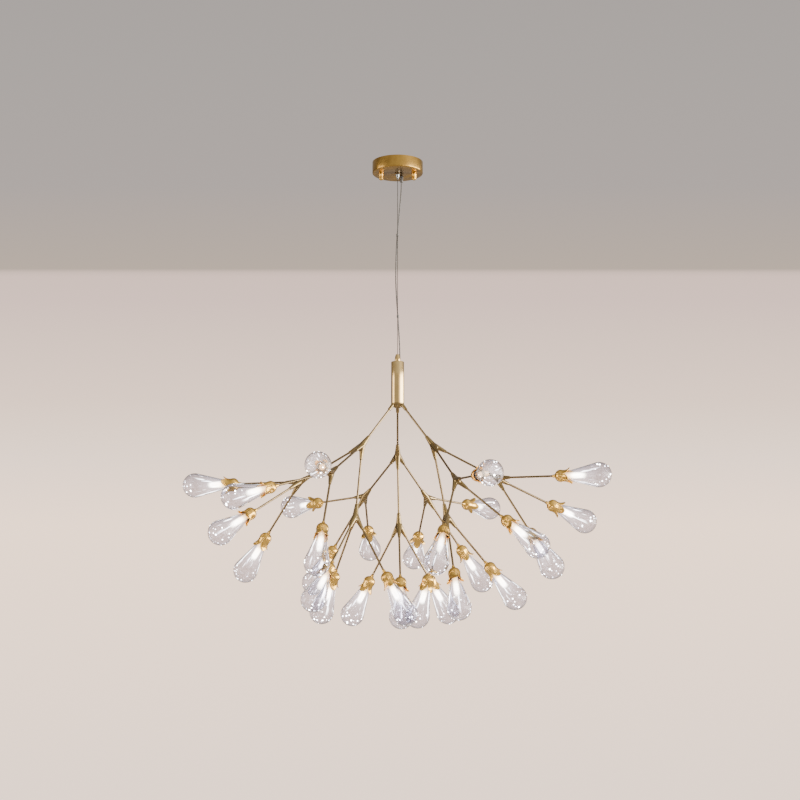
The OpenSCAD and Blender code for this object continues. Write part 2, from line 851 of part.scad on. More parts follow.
// Foot of the column: a plug in the tube, a rounded edge under it, and three
// arms whose axes meet inside.
module main_hub() {
    plug_d = tube_d - 2 * rod_fit;
    arm_root_d = hub_arm_d + 1;
    arm_from = (hub_rise - foot_r + 0.1 + arm_root_d / 2 * sin(main_tilt)) / cos(main_tilt);
    dome_r = (pow(column_d / 2 - foot_r * 0.4, 2) + foot_dome * foot_dome) / (2 * foot_dome);
    color([0.68, 0.5, 0.22])
        difference() {
            union() {
                translate([0, 0, foot_z + foot_r - eps])
                    cylinder(d = plug_d, h = hub_rise - foot_r + eps, $fn = 96);
                translate([0, 0, foot_z + foot_r])
                    rotate_extrude($fn = 128)
                        intersection() {
                            union() {
                                cup_outline(column_d / 2, foot_r, foot_r - 0.4);
                                translate([0, dome_r - foot_dome - foot_r])
                                    circle(r = dome_r, $fn = 192);
                            }
                            translate([0, -foot_r - foot_dome])
                                square([column_d / 2, foot_r + foot_dome]);
                        }
                for (i = [LEFT, BACK, RIGHT])
                    along_main(i)
                        translate([0, 0, arm_from])
                            cylinder(d1 = arm_root_d, d2 = hub_arm_d, h = hub_arm - arm_from, $fn = 64);
            }
            for (i = [LEFT, BACK, RIGHT])
                along_main(i) {
                    translate([0, 0, hub_arm - socket_depth])
                        cylinder(d = rod_d + 2 * rod_fit, h = socket_depth + 1, $fn = 48);
                    translate([0, 0, 2])
                        cylinder(d = rod_bore, h = hub_arm, $fn = 32);
                }
            translate([0, 0, hub_z - 4])
                cylinder(d = 6, h = 10, $fn = 48);
        }
}

// ---- Branches ----

// Cast fork: a tapered tail, three tapered arms and a rounded web between them,
// with a socket in every end and a wire way through the middle.
module fork(bends) {
    difference() {
        union() {
            translate([0, 0, -fork_tail])
                cylinder(d1 = fork_tail_d, d2 = fork_body_d, h = fork_tail, $fn = 64);
            translate([0, 0, fork_web_d / 2])
                sphere(d = fork_web_d, $fn = 64);
            for (k = [0:2])
                rotate([0, 0, arm_step * k])
                    rotate([0, bends[k], 0])
                        cylinder(d1 = fork_body_d, d2 = fork_end_d, h = fork_arm, $fn = 64);
        }
        translate([0, 0, -fork_tail - 1])
            cylinder(d = rod_d + 2 * rod_fit, h = socket_depth + 1, $fn = 48);
        translate([0, 0, -fork_tail])
            cylinder(d = rod_bore, h = fork_tail, $fn = 32);
        for (k = [0:2])
            rotate([0, 0, arm_step * k])
                rotate([0, bends[k], 0]) {
                    translate([0, 0, fork_arm - socket_depth])
                        cylinder(d = rod_d + 2 * rod_fit, h = socket_depth + 1, $fn = 48);
                    cylinder(d = rod_bore, h = fork_arm, $fn = 32);
                }
    }
}

// A rod between two points of the branching, both measured along its axis.
module rod(from, to) {
    translate([0, 0, from])
        tube(rod_d, rod_bore, to - from);
}

module main_rods() {
    color([0.7, 0.52, 0.24])
        for (i = [LEFT, BACK, RIGHT])
            along_main(i)
                rod(hub_arm - socket_depth, main_len - fork_tail + socket_depth);
}

module main_forks() {
    color([0.66, 0.48, 0.2])
        for (i = [LEFT, BACK, RIGHT])
            at_main_fork(i)
                fork(branch_bend[i]);
}

module branch_rods(i) {
    color([0.7, 0.52, 0.24])
        for (k = [0:2])
            along_branch(i, k)
                rod(fork_arm - socket_depth, branch_len - fork_tail + socket_depth);
}

module branch_forks(i) {
    color([0.66, 0.48, 0.2])
        for (k = [0:2])
            at_branch_fork(i, k)
                fork([twig_bend, twig_bend, twig_bend]);
}

module twigs(i) {
    color([0.7, 0.52, 0.24])
        for (k = [0:2])
            for (j = [0:2])
                along_twig(i, k, j)
                    rod(fork_arm - socket_depth, twig_len + neck_socket);
}

// ---- Petal cups ----

// A ring segment between two angles, as the outline of a curved sheet.
module arc_band(r_in, r_out, from, to) {
    reach = 3 * r_out;
    intersection() {
        difference() {
            circle(r = r_out, $fn = 128);
            circle(r = r_in, $fn = 128);
        }
        polygon([
            [0, 0],
            for (s = [0:4]) let (a = from + (to - from) * s / 4) reach * [cos(a), sin(a)]
        ]);
    }
}

// Half outline of the cup before its petals are cut: the round part, then the
// curl that turns outwards.
module cup_section() {
    translate([0, cup_rise])
        arc_band(cup_r - petal_wall, cup_r, -75, curl_start + 0.2);
    translate([curl_x, curl_z])
        arc_band(curl_r, curl_r + petal_wall, curl_end, 180 + curl_start);
    intersection() {
        translate([0, cup_rise])
            circle(r = cup_r, $fn = 128);
        translate([0, cup_rise - cup_r])
            square([cup_r, floor_z - cup_rise + cup_r]);
    }
}

// Radius and height of the cup's outside at a share of a petal's length: first
// up the rest of the round part, then along the curl.
function petal_place(t) =
    let (
        past = t * petal_l - round_part,
        a = curl_start + past / cup_r * 180 / PI,
        c = 180 + curl_start - past / curl_r * 180 / PI
    )
    past < 0
    ? [cup_r * cos(a), cup_rise + cup_r * sin(a)]
    : [curl_x + curl_r * cos(c), curl_z + curl_r * sin(c)];

// A petal keeps its width round the cup and narrows to its tip along the curl.
function petal_half(t) = (petal_tip + (petal_w - petal_tip) * (1 - pow(t, 2.4))) / 2;

function gap_half(t) =
    let (r = petal_place(t)[0])
    max(petal_gap / 2, r * sin(180 / petals - petal_half(t) / r * 180 / PI));

module petal_gap_outline() {
    side = [
        for (s = [0:petal_steps])
            let (t = s / petal_steps)
            [gap_half(t), petal_place(t)[1]]
    ];
    over = tip_z + petal_wall + 2;
    right = concat(side, [[side[petal_steps].x + 1, over]]);
    left = [for (s = [len(right) - 1:-1:0]) [-right[s].x, right[s].y]];
    polygon(concat(right, left));
}

module petal_cup() {
    color([0.8, 0.58, 0.2])
        difference() {
            union() {
                rotate_extrude($fn = 96)
                    cup_section();
                cylinder(d1 = neck_d, d2 = neck_top_d, h = neck_h, $fn = 64);
            }
            translate([0, 0, -1])
                cylinder(d = rod_d + 2 * rod_fit, h = neck_socket + 1, $fn = 48);
            cylinder(d = rod_bore, h = floor_z + 1, $fn = 32);
            for (p = [0:petals - 1])
                rotate([0, 0, 360 / petals * (p + 0.5)])
                    rotate([90, 0, 90])
                        linear_extrude(tip_x + 10)
                            petal_gap_outline();
        }
}

// ---- Lamps ----

// Lampholder: its foot is tapered, to seat in the round part of the cup.
module lampholder() {
    color([0.93, 0.93, 0.9])
        translate([0, 0, floor_z])
            difference() {
                union() {
                    cylinder(r1 = holder_foot_r, r2 = holder_d / 2, h = holder_foot_h, $fn = 64);
                    translate([0, 0, holder_foot_h])
                        cylinder(d = holder_d, h = holder_h - holder_foot_h, $fn = 64);
                }
                for (side = [-1, 1])
                    translate([side * pin_spacing / 2, 0, holder_h - pin_h - 0.5])
                        cylinder(d = pin_d + 2 * run_fit, h = pin_h + 2, $fn = 24);
                translate([0, 0, -1])
                    cylinder(d = rod_bore, h = 3, $fn = 32);
            }
}

module lamp_base() {
    color([0.95, 0.94, 0.9]) {
        translate([0, 0, base_z])
            cylinder(d = glass_neck_d + 0.8, h = base_flange_h, $fn = 64);
        translate([0, 0, rim_z - eps])
            cylinder(d = plug_d, h = base_plug_h + eps, $fn = 64);
        for (side = [-1, 1])
            translate([side * pin_spacing / 2, 0, base_z - pin_h])
                cylinder(d = pin_d, h = pin_h + eps, $fn = 24);
    }
}

// The light capsule inside the glass: a clear rod with a round end.
module capsule() {
    color([1, 0.97, 0.88]) {
        translate([0, 0, plug_top])
            cylinder(d = capsule_d, h = capsule_h - capsule_d / 2, $fn = 48);
        translate([0, 0, plug_top + capsule_h - capsule_d / 2])
            sphere(d = capsule_d, $fn = 48);
    }
}

// Half outline of a drop: a straight neck, a cone and a ball. The cone meets
// the ball a little before the tangent point, so the two outlines cross there.
module drop_outline(neck_r, ball_r, from) {
    start_z = rim_z + glass_neck_h;
    far = norm([neck_r, glass_mid_z - start_z]);
    lean = asin(ball_r / far) - atan(neck_r / (glass_mid_z - start_z));
    meet = lean + 3;
    join = [ball_r * cos(meet), glass_mid_z - ball_r * sin(meet)];
    polygon([[0, from], [neck_r, from], [neck_r, start_z], join, [0, join.y]]);
    intersection() {
        translate([0, glass_mid_z])
            circle(r = ball_r, $fn = 192);
        translate([0, join.y - 2])
            square([ball_r + 1, 2 * ball_r + 2]);
    }
}

module glass_drop() {
    color([0.82, 0.82, 0.86, 0.4])
        rotate_extrude($fn = 64)
            difference() {
                drop_outline(glass_neck_d / 2, glass_d / 2, rim_z);
                drop_outline(glass_neck_d / 2 - glass_wall, glass_d / 2 - glass_wall, rim_z - 1);
            }
}

// ---- The whole fitting ----

canopy();
ceiling_bracket();
canopy_studs();
canopy_nuts();
gripper_body();
gripper_nut();
gripper_plunger();
gripper_spring();
wire_tail();
cord_boot();
cord_tail();
terminal_block();
suspension_wire();
power_cord();
cord_ties();
column_cap();
column_plate();
column_tube();
column_grommet();
splice_block();
column_lead();
main_hub();
main_rods();
main_forks();
branch_rods(LEFT);  // left_rods
branch_rods(BACK);  // back_rods
branch_rods(RIGHT);  // right_rods
branch_forks(LEFT);  // left_forks
branch_forks(BACK);  // back_forks
branch_forks(RIGHT);  // right_forks
twigs(LEFT);  // left_twigs
twigs(BACK);  // back_twigs
twigs(RIGHT);  // right_twigs
at_all_lamps(LEFT) lampholder();  // left_lampholders
at_all_lamps(BACK) lampholder();  // back_lampholders
at_all_lamps(RIGHT) lampholder();  // right_lampholders
at_all_lamps(LEFT) lamp_base();  // left_lamp_bases
at_all_lamps(BACK) lamp_base();  // back_lamp_bases
at_all_lamps(RIGHT) lamp_base();  // right_lamp_bases
at_all_lamps(LEFT) capsule();  // left_capsules
at_all_lamps(BACK) capsule();  // back_capsules
at_all_lamps(RIGHT) capsule();  // right_capsules
at_cluster(LEFT, 0) petal_cup();  // left_lower_petals
at_cluster(LEFT, 1) petal_cup();  // left_front_petals
at_cluster(LEFT, 2) petal_cup();  // left_outer_petals
at_cluster(BACK, 0) petal_cup();  // back_lower_petals
at_cluster(BACK, 1) petal_cup();  // back_left_petals
at_cluster(BACK, 2) petal_cup();  // back_right_petals
at_cluster(RIGHT, 0) petal_cup();  // right_lower_petals
at_cluster(RIGHT, 1) petal_cup();  // right_outer_petals
at_cluster(RIGHT, 2) petal_cup();  // right_front_petals
at_cluster(LEFT, 0) glass_drop();  // left_lower_glass
at_cluster(LEFT, 1) glass_drop();  // left_front_glass
at_cluster(LEFT, 2) glass_drop();  // left_outer_glass
at_cluster(BACK, 0) glass_drop();  // back_lower_glass
at_cluster(BACK, 1) glass_drop();  // back_left_glass
at_cluster(BACK, 2) glass_drop();  // back_right_glass
at_cluster(RIGHT, 0) glass_drop();  // right_lower_glass
at_cluster(RIGHT, 1) glass_drop();  // right_outer_glass
at_cluster(RIGHT, 2) glass_drop();  // right_front_glass
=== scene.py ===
# %% [markdown]
# # A branch chandelier
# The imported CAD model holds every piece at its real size. This script dresses it: it keeps the
# pieces whose shape is right, makes smooth or softer versions of the ones that show most, and
# gives each a finish. Sizes of the lamps are in millimetres, as a lamp maker would write them,
# and become metres when a piece is put in place.

# %% Load the frame
import json
import math

import bmesh
import bpy
from mathutils import Matrix, Vector


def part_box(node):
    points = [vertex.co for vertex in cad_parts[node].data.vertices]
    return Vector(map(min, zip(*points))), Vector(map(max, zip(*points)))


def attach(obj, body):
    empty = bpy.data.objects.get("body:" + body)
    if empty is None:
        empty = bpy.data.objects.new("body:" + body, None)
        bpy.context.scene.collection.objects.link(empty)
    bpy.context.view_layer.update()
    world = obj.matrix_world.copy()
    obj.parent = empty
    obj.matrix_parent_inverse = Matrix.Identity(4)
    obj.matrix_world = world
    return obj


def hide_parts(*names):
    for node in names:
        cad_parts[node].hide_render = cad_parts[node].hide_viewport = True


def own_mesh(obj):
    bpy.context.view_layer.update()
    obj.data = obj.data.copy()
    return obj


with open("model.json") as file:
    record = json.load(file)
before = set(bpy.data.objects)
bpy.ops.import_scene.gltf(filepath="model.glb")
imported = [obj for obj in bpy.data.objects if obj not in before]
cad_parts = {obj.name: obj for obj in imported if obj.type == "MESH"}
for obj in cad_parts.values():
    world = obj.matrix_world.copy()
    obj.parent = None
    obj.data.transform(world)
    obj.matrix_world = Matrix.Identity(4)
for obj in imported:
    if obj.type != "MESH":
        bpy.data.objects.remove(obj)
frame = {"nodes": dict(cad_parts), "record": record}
nodes = frame["nodes"]
record = frame["record"]
slot_of = {part["node"]: part["material_slot"] for part in record["subparts"]}
body_of = {node: body for body, names in record["behaviour"]["bodies"].items() for node in names}
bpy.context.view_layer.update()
MM = 0.001

# %% [markdown]
# The photograph looks slightly upwards at a lamp that hangs above the viewer. A long lens
# keeps the branches near and far at almost the same size, so the focal length is 81 mm on a
# 36 mm sensor. The camera stands four metres in front and looks up by eleven degrees.

# %% Camera
SENSOR = 36.0
PHOTO_WIDTH = 800
FOCAL_PIXELS = 1800
CAMERA_PLACE = (5.65, -4096.8, -1368.1)
CAMERA_TILT = 10.954
lens = bpy.data.cameras.new("viewpoint")
lens.sensor_width = SENSOR
lens.lens = SENSOR * FOCAL_PIXELS / PHOTO_WIDTH
lens.clip_end = 60
camera = bpy.data.objects.new("viewpoint", lens)
camera.location = [value * MM for value in CAMERA_PLACE]
camera.rotation_euler = (math.radians(90 + CAMERA_TILT), 0, 0)
bpy.context.scene.collection.objects.link(camera)
bpy.context.scene.camera = camera
print("lens", lens.lens, "mm")

# %% [markdown]
# Materials are built from nodes. A few helpers add one node each and return its output, so a
# material reads like a sum. Where a helper takes a value, that value may be a number or the
# output of another node.

# %% Node helpers


def feed(tree, value, socket):
    """Links an output to a socket, or sets the socket's own value."""
    if isinstance(value, bpy.types.NodeSocket):
        tree.links.new(value, socket)
    else:
        socket.default_value = value


def add_noise(tree, vector, scale, detail=3, roughness=0.5):
    """A noise texture on a vector."""
    texture = tree.nodes.new("ShaderNodeTexNoise")
    texture.inputs["Detail"].default_value = detail
    texture.inputs["Roughness"].default_value = roughness
    feed(tree, vector, texture.inputs["Vector"])
    feed(tree, scale, texture.inputs["Scale"])
    return texture.outputs["Fac"]


def add_span(tree, value, low, high, to_low=0.0, to_high=1.0):
    """Maps a value from one span to another, and holds it at the ends."""
    span = tree.nodes.new("ShaderNodeMapRange")
    ends = {"Value": value, "From Min": low, "From Max": high, "To Min": to_low, "To Max": to_high}
    for label, end in ends.items():
        feed(tree, end, span.inputs[label])
    return span.outputs["Result"]


def add_math(tree, operation, *values):
    """One Math node."""
    node = tree.nodes.new("ShaderNodeMath")
    node.operation = operation
    for socket, value in zip(node.inputs, values):
        feed(tree, value, socket)
    return node.outputs["Value"]


def add_mix(tree, share, first, second):
    """The first colour where the share is nought, and the second where it is one."""
    mix = tree.nodes.new("ShaderNodeMix")
    mix.data_type = "RGBA"
    feed(tree, share, mix.inputs["Factor"])
    feed(tree, first, mix.inputs["A"])
    feed(tree, second, mix.inputs["B"])
    return mix.outputs["Result"]


def add_ramp(tree, value, stops):
    """A colour ramp of (position, colour) stops."""
    ramp = tree.nodes.new("ShaderNodeValToRGB")
    elements = ramp.color_ramp.elements
    elements[0].position, elements[0].color = stops[0][0], (*stops[0][1], 1)
    elements[1].position, elements[1].color = stops[-1][0], (*stops[-1][1], 1)
    for position, colour in stops[1:-1]:
        elements.new(position).color = (*colour, 1)
    feed(tree, value, ramp.inputs["Fac"])
    return ramp.outputs["Color"]


def object_place(tree):
    """Coordinates in the piece's own frame, so the pattern moves with the piece."""
    return tree.nodes.new("ShaderNodeTexCoord").outputs["Object"]


def new_group(name, inputs, outputs):
    """An empty node group with typed sockets, and its two end nodes."""
    group = bpy.data.node_groups.new(name, "ShaderNodeTree")
    for label, kind, value in inputs:
        socket = group.interface.new_socket(label, in_out="INPUT", socket_type=kind)
        socket.default_value = value
    for label, kind in outputs:
        group.interface.new_socket(label, in_out="OUTPUT", socket_type=kind)
    return group, group.nodes.new("NodeGroupInput"), group.nodes.new("NodeGroupOutput")


print("node helpers ready")

# %% [markdown]
# Brass is never one flat colour. Lacquer and handling leave soft clouds that are a little
# darker and duller, so all the metal shares one node group that turns noise into a colour, a
# roughness and a height. Each finish gives it its own two colours and its own scale.

# %% Patina
CLOUD_SPAN = (0.38, 0.72)


def make_patina():
    """Clouds of darker, duller metal."""
    group, start, end = new_group("patina", [
        ("Colour", "NodeSocketColor", (0.7, 0.5, 0.2, 1)),
        ("Dark", "NodeSocketColor", (0.4, 0.2, 0.1, 1)),
        ("Scale", "NodeSocketFloat", 60.0),
        ("Polish", "NodeSocketFloat", 0.2),
        ("Dullness", "NodeSocketFloat", 0.4),
    ], [
        ("Colour", "NodeSocketColor"),
        ("Roughness", "NodeSocketFloat"),
        ("Height", "NodeSocketFloat"),
    ])
    given = start.outputs
    clouds = add_noise(group, object_place(group), given["Scale"])
    share = add_span(group, clouds, *CLOUD_SPAN)
    tint = add_mix(group, share, given["Colour"], given["Dark"])
    dull = add_span(group, share, 0.0, 1.0, given["Polish"], given["Dullness"])
    for output, label in ((tint, "Colour"), (dull, "Roughness"), (clouds, "Height")):
        group.links.new(output, end.inputs[label])
    return group


patina = make_patina()
print("group", patina.name, "with", len(patina.nodes), "nodes")

# %% [markdown]
# The canopy and the column are turned or spun on a lathe, which leaves fine rings round the
# axis. A second group makes them: it reads the distance from an upright axis and the height,
# so the rings run round the sides and across the flat faces alike.

# %% Turning marks


def make_turning():
    """Fine rings round the upright axis of the fitting."""
    group, start, end = new_group("turning", [("Spacing", "NodeSocketFloat", 1200.0)],
                                  [("Height", "NodeSocketFloat")])
    split = group.nodes.new("ShaderNodeSeparateXYZ")
    group.links.new(object_place(group), split.inputs["Vector"])
    across = add_math(group, "POWER", split.outputs["X"], 2.0)
    deep = add_math(group, "POWER", split.outputs["Y"], 2.0)
    distance = add_math(group, "SQRT", add_math(group, "ADD", across, deep))
    ring = group.nodes.new("ShaderNodeCombineXYZ")
    group.links.new(distance, ring.inputs["X"])
    group.links.new(split.outputs["Z"], ring.inputs["Y"])
    marks = add_noise(group, ring.outputs["Vector"], start.outputs["Spacing"], detail=2)
    group.links.new(marks, end.inputs["Height"])
    return group


turning = make_turning()
print("group", turning.name, "with", len(turning.nodes), "nodes")

# %% [markdown]
# Two helpers make the finishes. A metal takes its colour and gloss from the patina and its
# relief from the patina or from the turning marks. A plastic or a glaze is smooth, with a faint
# unevenness that keeps its highlights from looking drawn with a ruler.

# %% Finish helpers
METAL_BUMP, PLASTIC_BUMP = 0.5, 0.3
PLASTIC_GRAIN, PLASTIC_RELIEF = 400, 0.02


def new_material(name):
    """A material with its node tree and its shader."""
    material = bpy.data.materials.new(name)
    material.use_nodes = True
    tree = material.node_tree
    return material, tree, tree.nodes["Principled BSDF"]


def set_shader(shader, **values):
    """Sets the shader's own sockets; an underscore stands for a space."""
    for label, value in values.items():
        shader.inputs[label.replace("_", " ")].default_value = value


def add_bump(tree, shader, height, strength, distance):
    """Relief on a shader; the distance is in millimetres."""
    bump = tree.nodes.new("ShaderNodeBump")
    bump.inputs["Strength"].default_value = strength
    bump.inputs["Distance"].default_value = distance * MM
    tree.links.new(height, bump.inputs["Height"])
    tree.links.new(bump.outputs["Normal"], shader.inputs["Normal"])


def use_group(tree, group):
    node = tree.nodes.new("ShaderNodeGroup")
    node.node_tree = group
    return node


def metal(name, colour, dark, scale, polish, dullness, relief, rings=0):
    """A metal with clouds; its relief is in millimetres, and rings is the turning's scale."""
    material, tree, shader = new_material(name)
    set_shader(shader, Metallic=1.0)
    clouds = use_group(tree, patina)
    clouds.inputs["Colour"].default_value = (*colour, 1)
    clouds.inputs["Dark"].default_value = (*dark, 1)
    clouds.inputs["Scale"].default_value = scale
    clouds.inputs["Polish"].default_value = polish
    clouds.inputs["Dullness"].default_value = dullness
    tree.links.new(clouds.outputs["Colour"], shader.inputs["Base Color"])
    tree.links.new(clouds.outputs["Roughness"], shader.inputs["Roughness"])
    height = clouds.outputs["Height"]
    if rings:
        marks = use_group(tree, turning)
        marks.inputs["Spacing"].default_value = rings
        height = marks.outputs["Height"]
    add_bump(tree, shader, height, METAL_BUMP, relief)
    return material


def plastic(name, colour, roughness, transmission=0.0, mirror=0.5):
    """A moulded plastic or a glaze, with a faint unevenness."""
    material, tree, shader = new_material(name)
    set_shader(shader, Base_Color=(*colour, 1), Roughness=roughness,
               Transmission_Weight=transmission, Specular_IOR_Level=mirror)
    grain = add_noise(tree, object_place(tree), PLASTIC_GRAIN)
    add_bump(tree, shader, grain, PLASTIC_BUMP, PLASTIC_RELIEF)
    return material


print("finish helpers ready")

# %% [markdown]
# The photograph shows four tones of brass: a warm antique brown on the canopy, bright gilt on
# the petals, a pale brushed tube for the column, and a duller lacquered brass on the rods and
# their cast forks. Steel, clear plastic and white ceramic make up the rest; the ceramic is a
# dark grey here, painted shade for the inside of the cups.

# %% Finishes
finishes = {
    "antique_brass": metal(
        "antique_brass", (0.57, 0.335, 0.083), (0.42, 0.24, 0.06), scale=60,
        polish=0.2, dullness=0.28, relief=0.02, rings=900),
    "polished_brass": metal(
        "gilt_brass", (1.0, 0.62, 0.16), (0.92, 0.53, 0.115), scale=90,
        polish=0.11, dullness=0.2, relief=0.04),
    "brushed_brass": metal(
        "brushed_brass", (0.8, 0.56, 0.26), (0.72, 0.49, 0.21), scale=70,
        polish=0.09, dullness=0.13, relief=0.01, rings=1500),
    "cast_brass": metal(
        "cast_brass", (0.38, 0.27, 0.125), (0.27, 0.185, 0.085), scale=80,
        polish=0.18, dullness=0.28, relief=0.05),
    "rod_brass": metal(
        "rod_brass", (0.3, 0.215, 0.115), (0.21, 0.15, 0.08), scale=60,
        polish=0.14, dullness=0.22, relief=0.005),
    "zinc_steel": metal(
        "zinc_steel", (0.5, 0.51, 0.52), (0.36, 0.37, 0.38), scale=120,
        polish=0.3, dullness=0.5, relief=0.05),
    "chrome_metal": metal(
        "chrome_metal", (0.34, 0.35, 0.35), (0.24, 0.25, 0.25), scale=60,
        polish=0.1, dullness=0.2, relief=0.02),
    "wire_steel": metal(
        "wire_steel", (0.08, 0.076, 0.072), (0.05, 0.046, 0.042), scale=500,
        polish=0.4, dullness=0.55, relief=0.1),
    "clear_plastic": plastic(
        "clear_plastic", (0.2, 0.19, 0.18), roughness=0.5, transmission=0.4, mirror=0.15),
    "white_plastic": plastic("white_plastic", (0.5, 0.48, 0.44), roughness=0.35),
    # The white ceramic is given a dark grey: painted shade for the inside of the cups.
    "holder_ceramic": plastic("holder_ceramic", (0.3, 0.285, 0.26), roughness=0.18),
}
print(len(finishes), "finishes")

# %% [markdown]
# The clear cord hangs beside the steel wire and is tied to it twice. Its points are listed,
# each with its share of the drop, and a smooth curve runs through them. A curve object with one
# open spline is enough, because a cord is the same thickness everywhere.

# %% Cord
CANOPY_FACE = -28.0
DROP = 457.0
CORD_D = 3.0
CORD_STEPS = 3
cord_start = (9, 22, CANOPY_FACE - 5)
cord_end = (5.4, 8.4, CANOPY_FACE - DROP - 0.6)
cord_middle = [
    (9, 22, 0.02), (8.8, 21, 0.05), (8.1, 18.6, 0.085), (6.9, 15.4, 0.125),
    (5.2, 11.8, 0.17), (3.4, 8.2, 0.22), (1.2, 4.8, 0.275), (-0.8, 2.8, 0.33),
    (-2.3, 2.9, 0.385), (-3.5, 3.6, 0.445), (-4.2, 4.1, 0.51), (-4.1, 4, 0.58),
    (-2.8, 3.3, 0.65), (-1, 2.7, 0.71), (0.6, 2.8, 0.76), (2.1, 3.7, 0.81),
    (3.5, 5.2, 0.86), (4.6, 7, 0.91), (5.3, 8.2, 0.96),
]
cord_points = [Vector(cord_start)]
cord_points += [Vector((x, y, CANOPY_FACE - share * DROP)) for x, y, share in cord_middle]
cord_points += [Vector(cord_end)]


def smooth_route(points, steps):
    """Points on a smooth curve through the given ones, with the ends repeated."""
    last = len(points) - 1
    route = []
    for i in range(last):
        a, b = points[max(i - 1, 0)], points[i]
        c, d = points[i + 1], points[min(i + 2, last)]
        for s in range(steps):
            t = s / steps
            bend = 2 * b + (c - a) * t + (2 * a - 5 * b + 4 * c - d) * t**2
            route.append(0.5 * (bend + (3 * b - a - 3 * c + d) * t**3))
    return route + [points[last]]


def tube_along(name, route, diameter, finish):
    """A curve object of one open spline, in metres."""
    curve = bpy.data.curves.new(name, "CURVE")
    curve.dimensions = "3D"
    curve.bevel_depth = diameter / 2 * MM
    curve.bevel_resolution = 3
    curve.use_fill_caps = True
    spline = curve.splines.new("POLY")
    spline.points.add(len(route) - 1)
    for point, place in zip(spline.points, route):
        point.co = (*(place * MM), 1)
    spline.use_smooth = True
    curve.materials.append(finish)
    piece = bpy.data.objects.new(name, curve)
    bpy.context.scene.collection.objects.link(piece)
    return piece


cord_route = smooth_route(cord_points, CORD_STEPS)
cord = tube_along("hanging_cord", cord_route, CORD_D, finishes["clear_plastic"])
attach(cord, "suspension")
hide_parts("power_cord")

# %% [markdown]
# The glass is clear with a faint lilac cast. Two kinds of painted light brighten it: painted
# glints, small bright specks in the round end, and fine streaks along the cone that paint the
# capsule's reflections. Both are masks that the emission of the glass draws. They follow the
# drop, so each drop stores two attributes: along is the distance from the twig in millimetres,
# and round is the direction from the axis.

# %% Painted glints and reflections in the glass
# The glints and the streaks are painted light, drawn by the emission of the glass.
GLINT_SCALE, GLINT_TONES, GLINT_SIZES, GLINT_EDGE = 210, (0.86, 1.0), (-0.1, 0.5), 0.1
GLINT_BEGIN = (92, 112)
STREAK_SCALE, STREAK_SPAN = 5.5, (0.645, 0.69)
STREAK_BEGIN, STREAK_END = (36, 56), (112, 84)
GLOW_BEGIN, GLOW_END, GLOW_POWER = (30, 56), (96, 64), 3.0


def attribute(tree, name):
    node = tree.nodes.new("ShaderNodeAttribute")
    node.attribute_name = name
    return node


def painted_glints(tree, along):
    """Painted glints in the round end: of the small cells only a few hold a bright speck."""
    cells = tree.nodes.new("ShaderNodeTexVoronoi")
    cells.inputs["Scale"].default_value = GLINT_SCALE
    tree.links.new(object_place(tree), cells.inputs["Vector"])
    tone = tree.nodes.new("ShaderNodeSeparateColor")
    tree.links.new(cells.outputs["Color"], tone.inputs["Color"])
    size = add_span(tree, tone.outputs["Red"], *GLINT_TONES, *GLINT_SIZES)
    inside = add_math(tree, "SUBTRACT", size, cells.outputs["Distance"])
    speck = add_span(tree, inside, 0.0, GLINT_EDGE)
    return add_math(tree, "MULTIPLY", speck, add_span(tree, along, *GLINT_BEGIN))


def streaks(tree, along, direction):
    """Painted reflections of the capsule: thin bright lines along the cone."""
    lines = add_noise(tree, direction, STREAK_SCALE, detail=2)
    thin = add_span(tree, lines, *STREAK_SPAN)
    begin = add_span(tree, along, *STREAK_BEGIN)
    end = add_span(tree, along, *STREAK_END)
    return add_math(tree, "MULTIPLY", thin, add_math(tree, "MULTIPLY", begin, end))


def glow(tree, along, facing):
    """Painted glow round the capsule, drawn by the emission of the glass, strongest where it is
    seen straight on.
    """
    middle = add_math(tree, "POWER", add_math(tree, "SUBTRACT", 1.0, facing), GLOW_POWER)
    begin, end = add_span(tree, along, *GLOW_BEGIN), add_span(tree, along, *GLOW_END)
    return add_math(tree, "MULTIPLY", middle, add_math(tree, "MULTIPLY", begin, end))


print("marks ready")

# %% [markdown]
# The clear glass has painted shade at its rim, where the eye looks along the wall, and is a
# little cloudy towards the round end. The painted light shines in it: the glints fully, the
# streaks of painted reflection less, and the painted glow round the capsule only faintly.

# %% Glass
# The rim tint is painted shade; the cloud tint is the glass's own.
LILAC, RIM_SHADE_TINT, CLOUD_TINT = (0.8, 0.81, 0.9, 1), (0.42, 0.41, 0.44, 1), (0.66, 0.66, 0.7, 1)
RIM_SHADE_POWER = 4.0
CLOUD_SCALE, CLOUD_EDGE, CLOUD_BEGIN, CLOUD_MOST = 190, (0.42, 0.6), (78, 108), 0.75
# Strengths of the painted light: the reflection streaks, the glow, and the emission that draws
# them all.
STREAK_LIGHT, GLOW_LIGHT, PAINTED_LIGHT_STRENGTH = 0.24, 0.012, 18.0
WAVE_SCALE, WAVE_BUMP, WAVE_RELIEF = 60, 0.3, 0.15


def glass_tint(tree, along, facing):
    """Lilac glass with painted shade at its rim, and darker in clouds."""
    rim = add_mix(tree, add_math(tree, "POWER", facing, RIM_SHADE_POWER), LILAC, RIM_SHADE_TINT)
    noise = add_noise(tree, object_place(tree), CLOUD_SCALE, detail=2, roughness=0.6)
    clouds = add_span(tree, noise, *CLOUD_EDGE)
    begin = add_span(tree, along, *CLOUD_BEGIN, 0.0, CLOUD_MOST)
    share = add_math(tree, "MULTIPLY", clouds, begin)
    return add_mix(tree, share, rim, CLOUD_TINT)


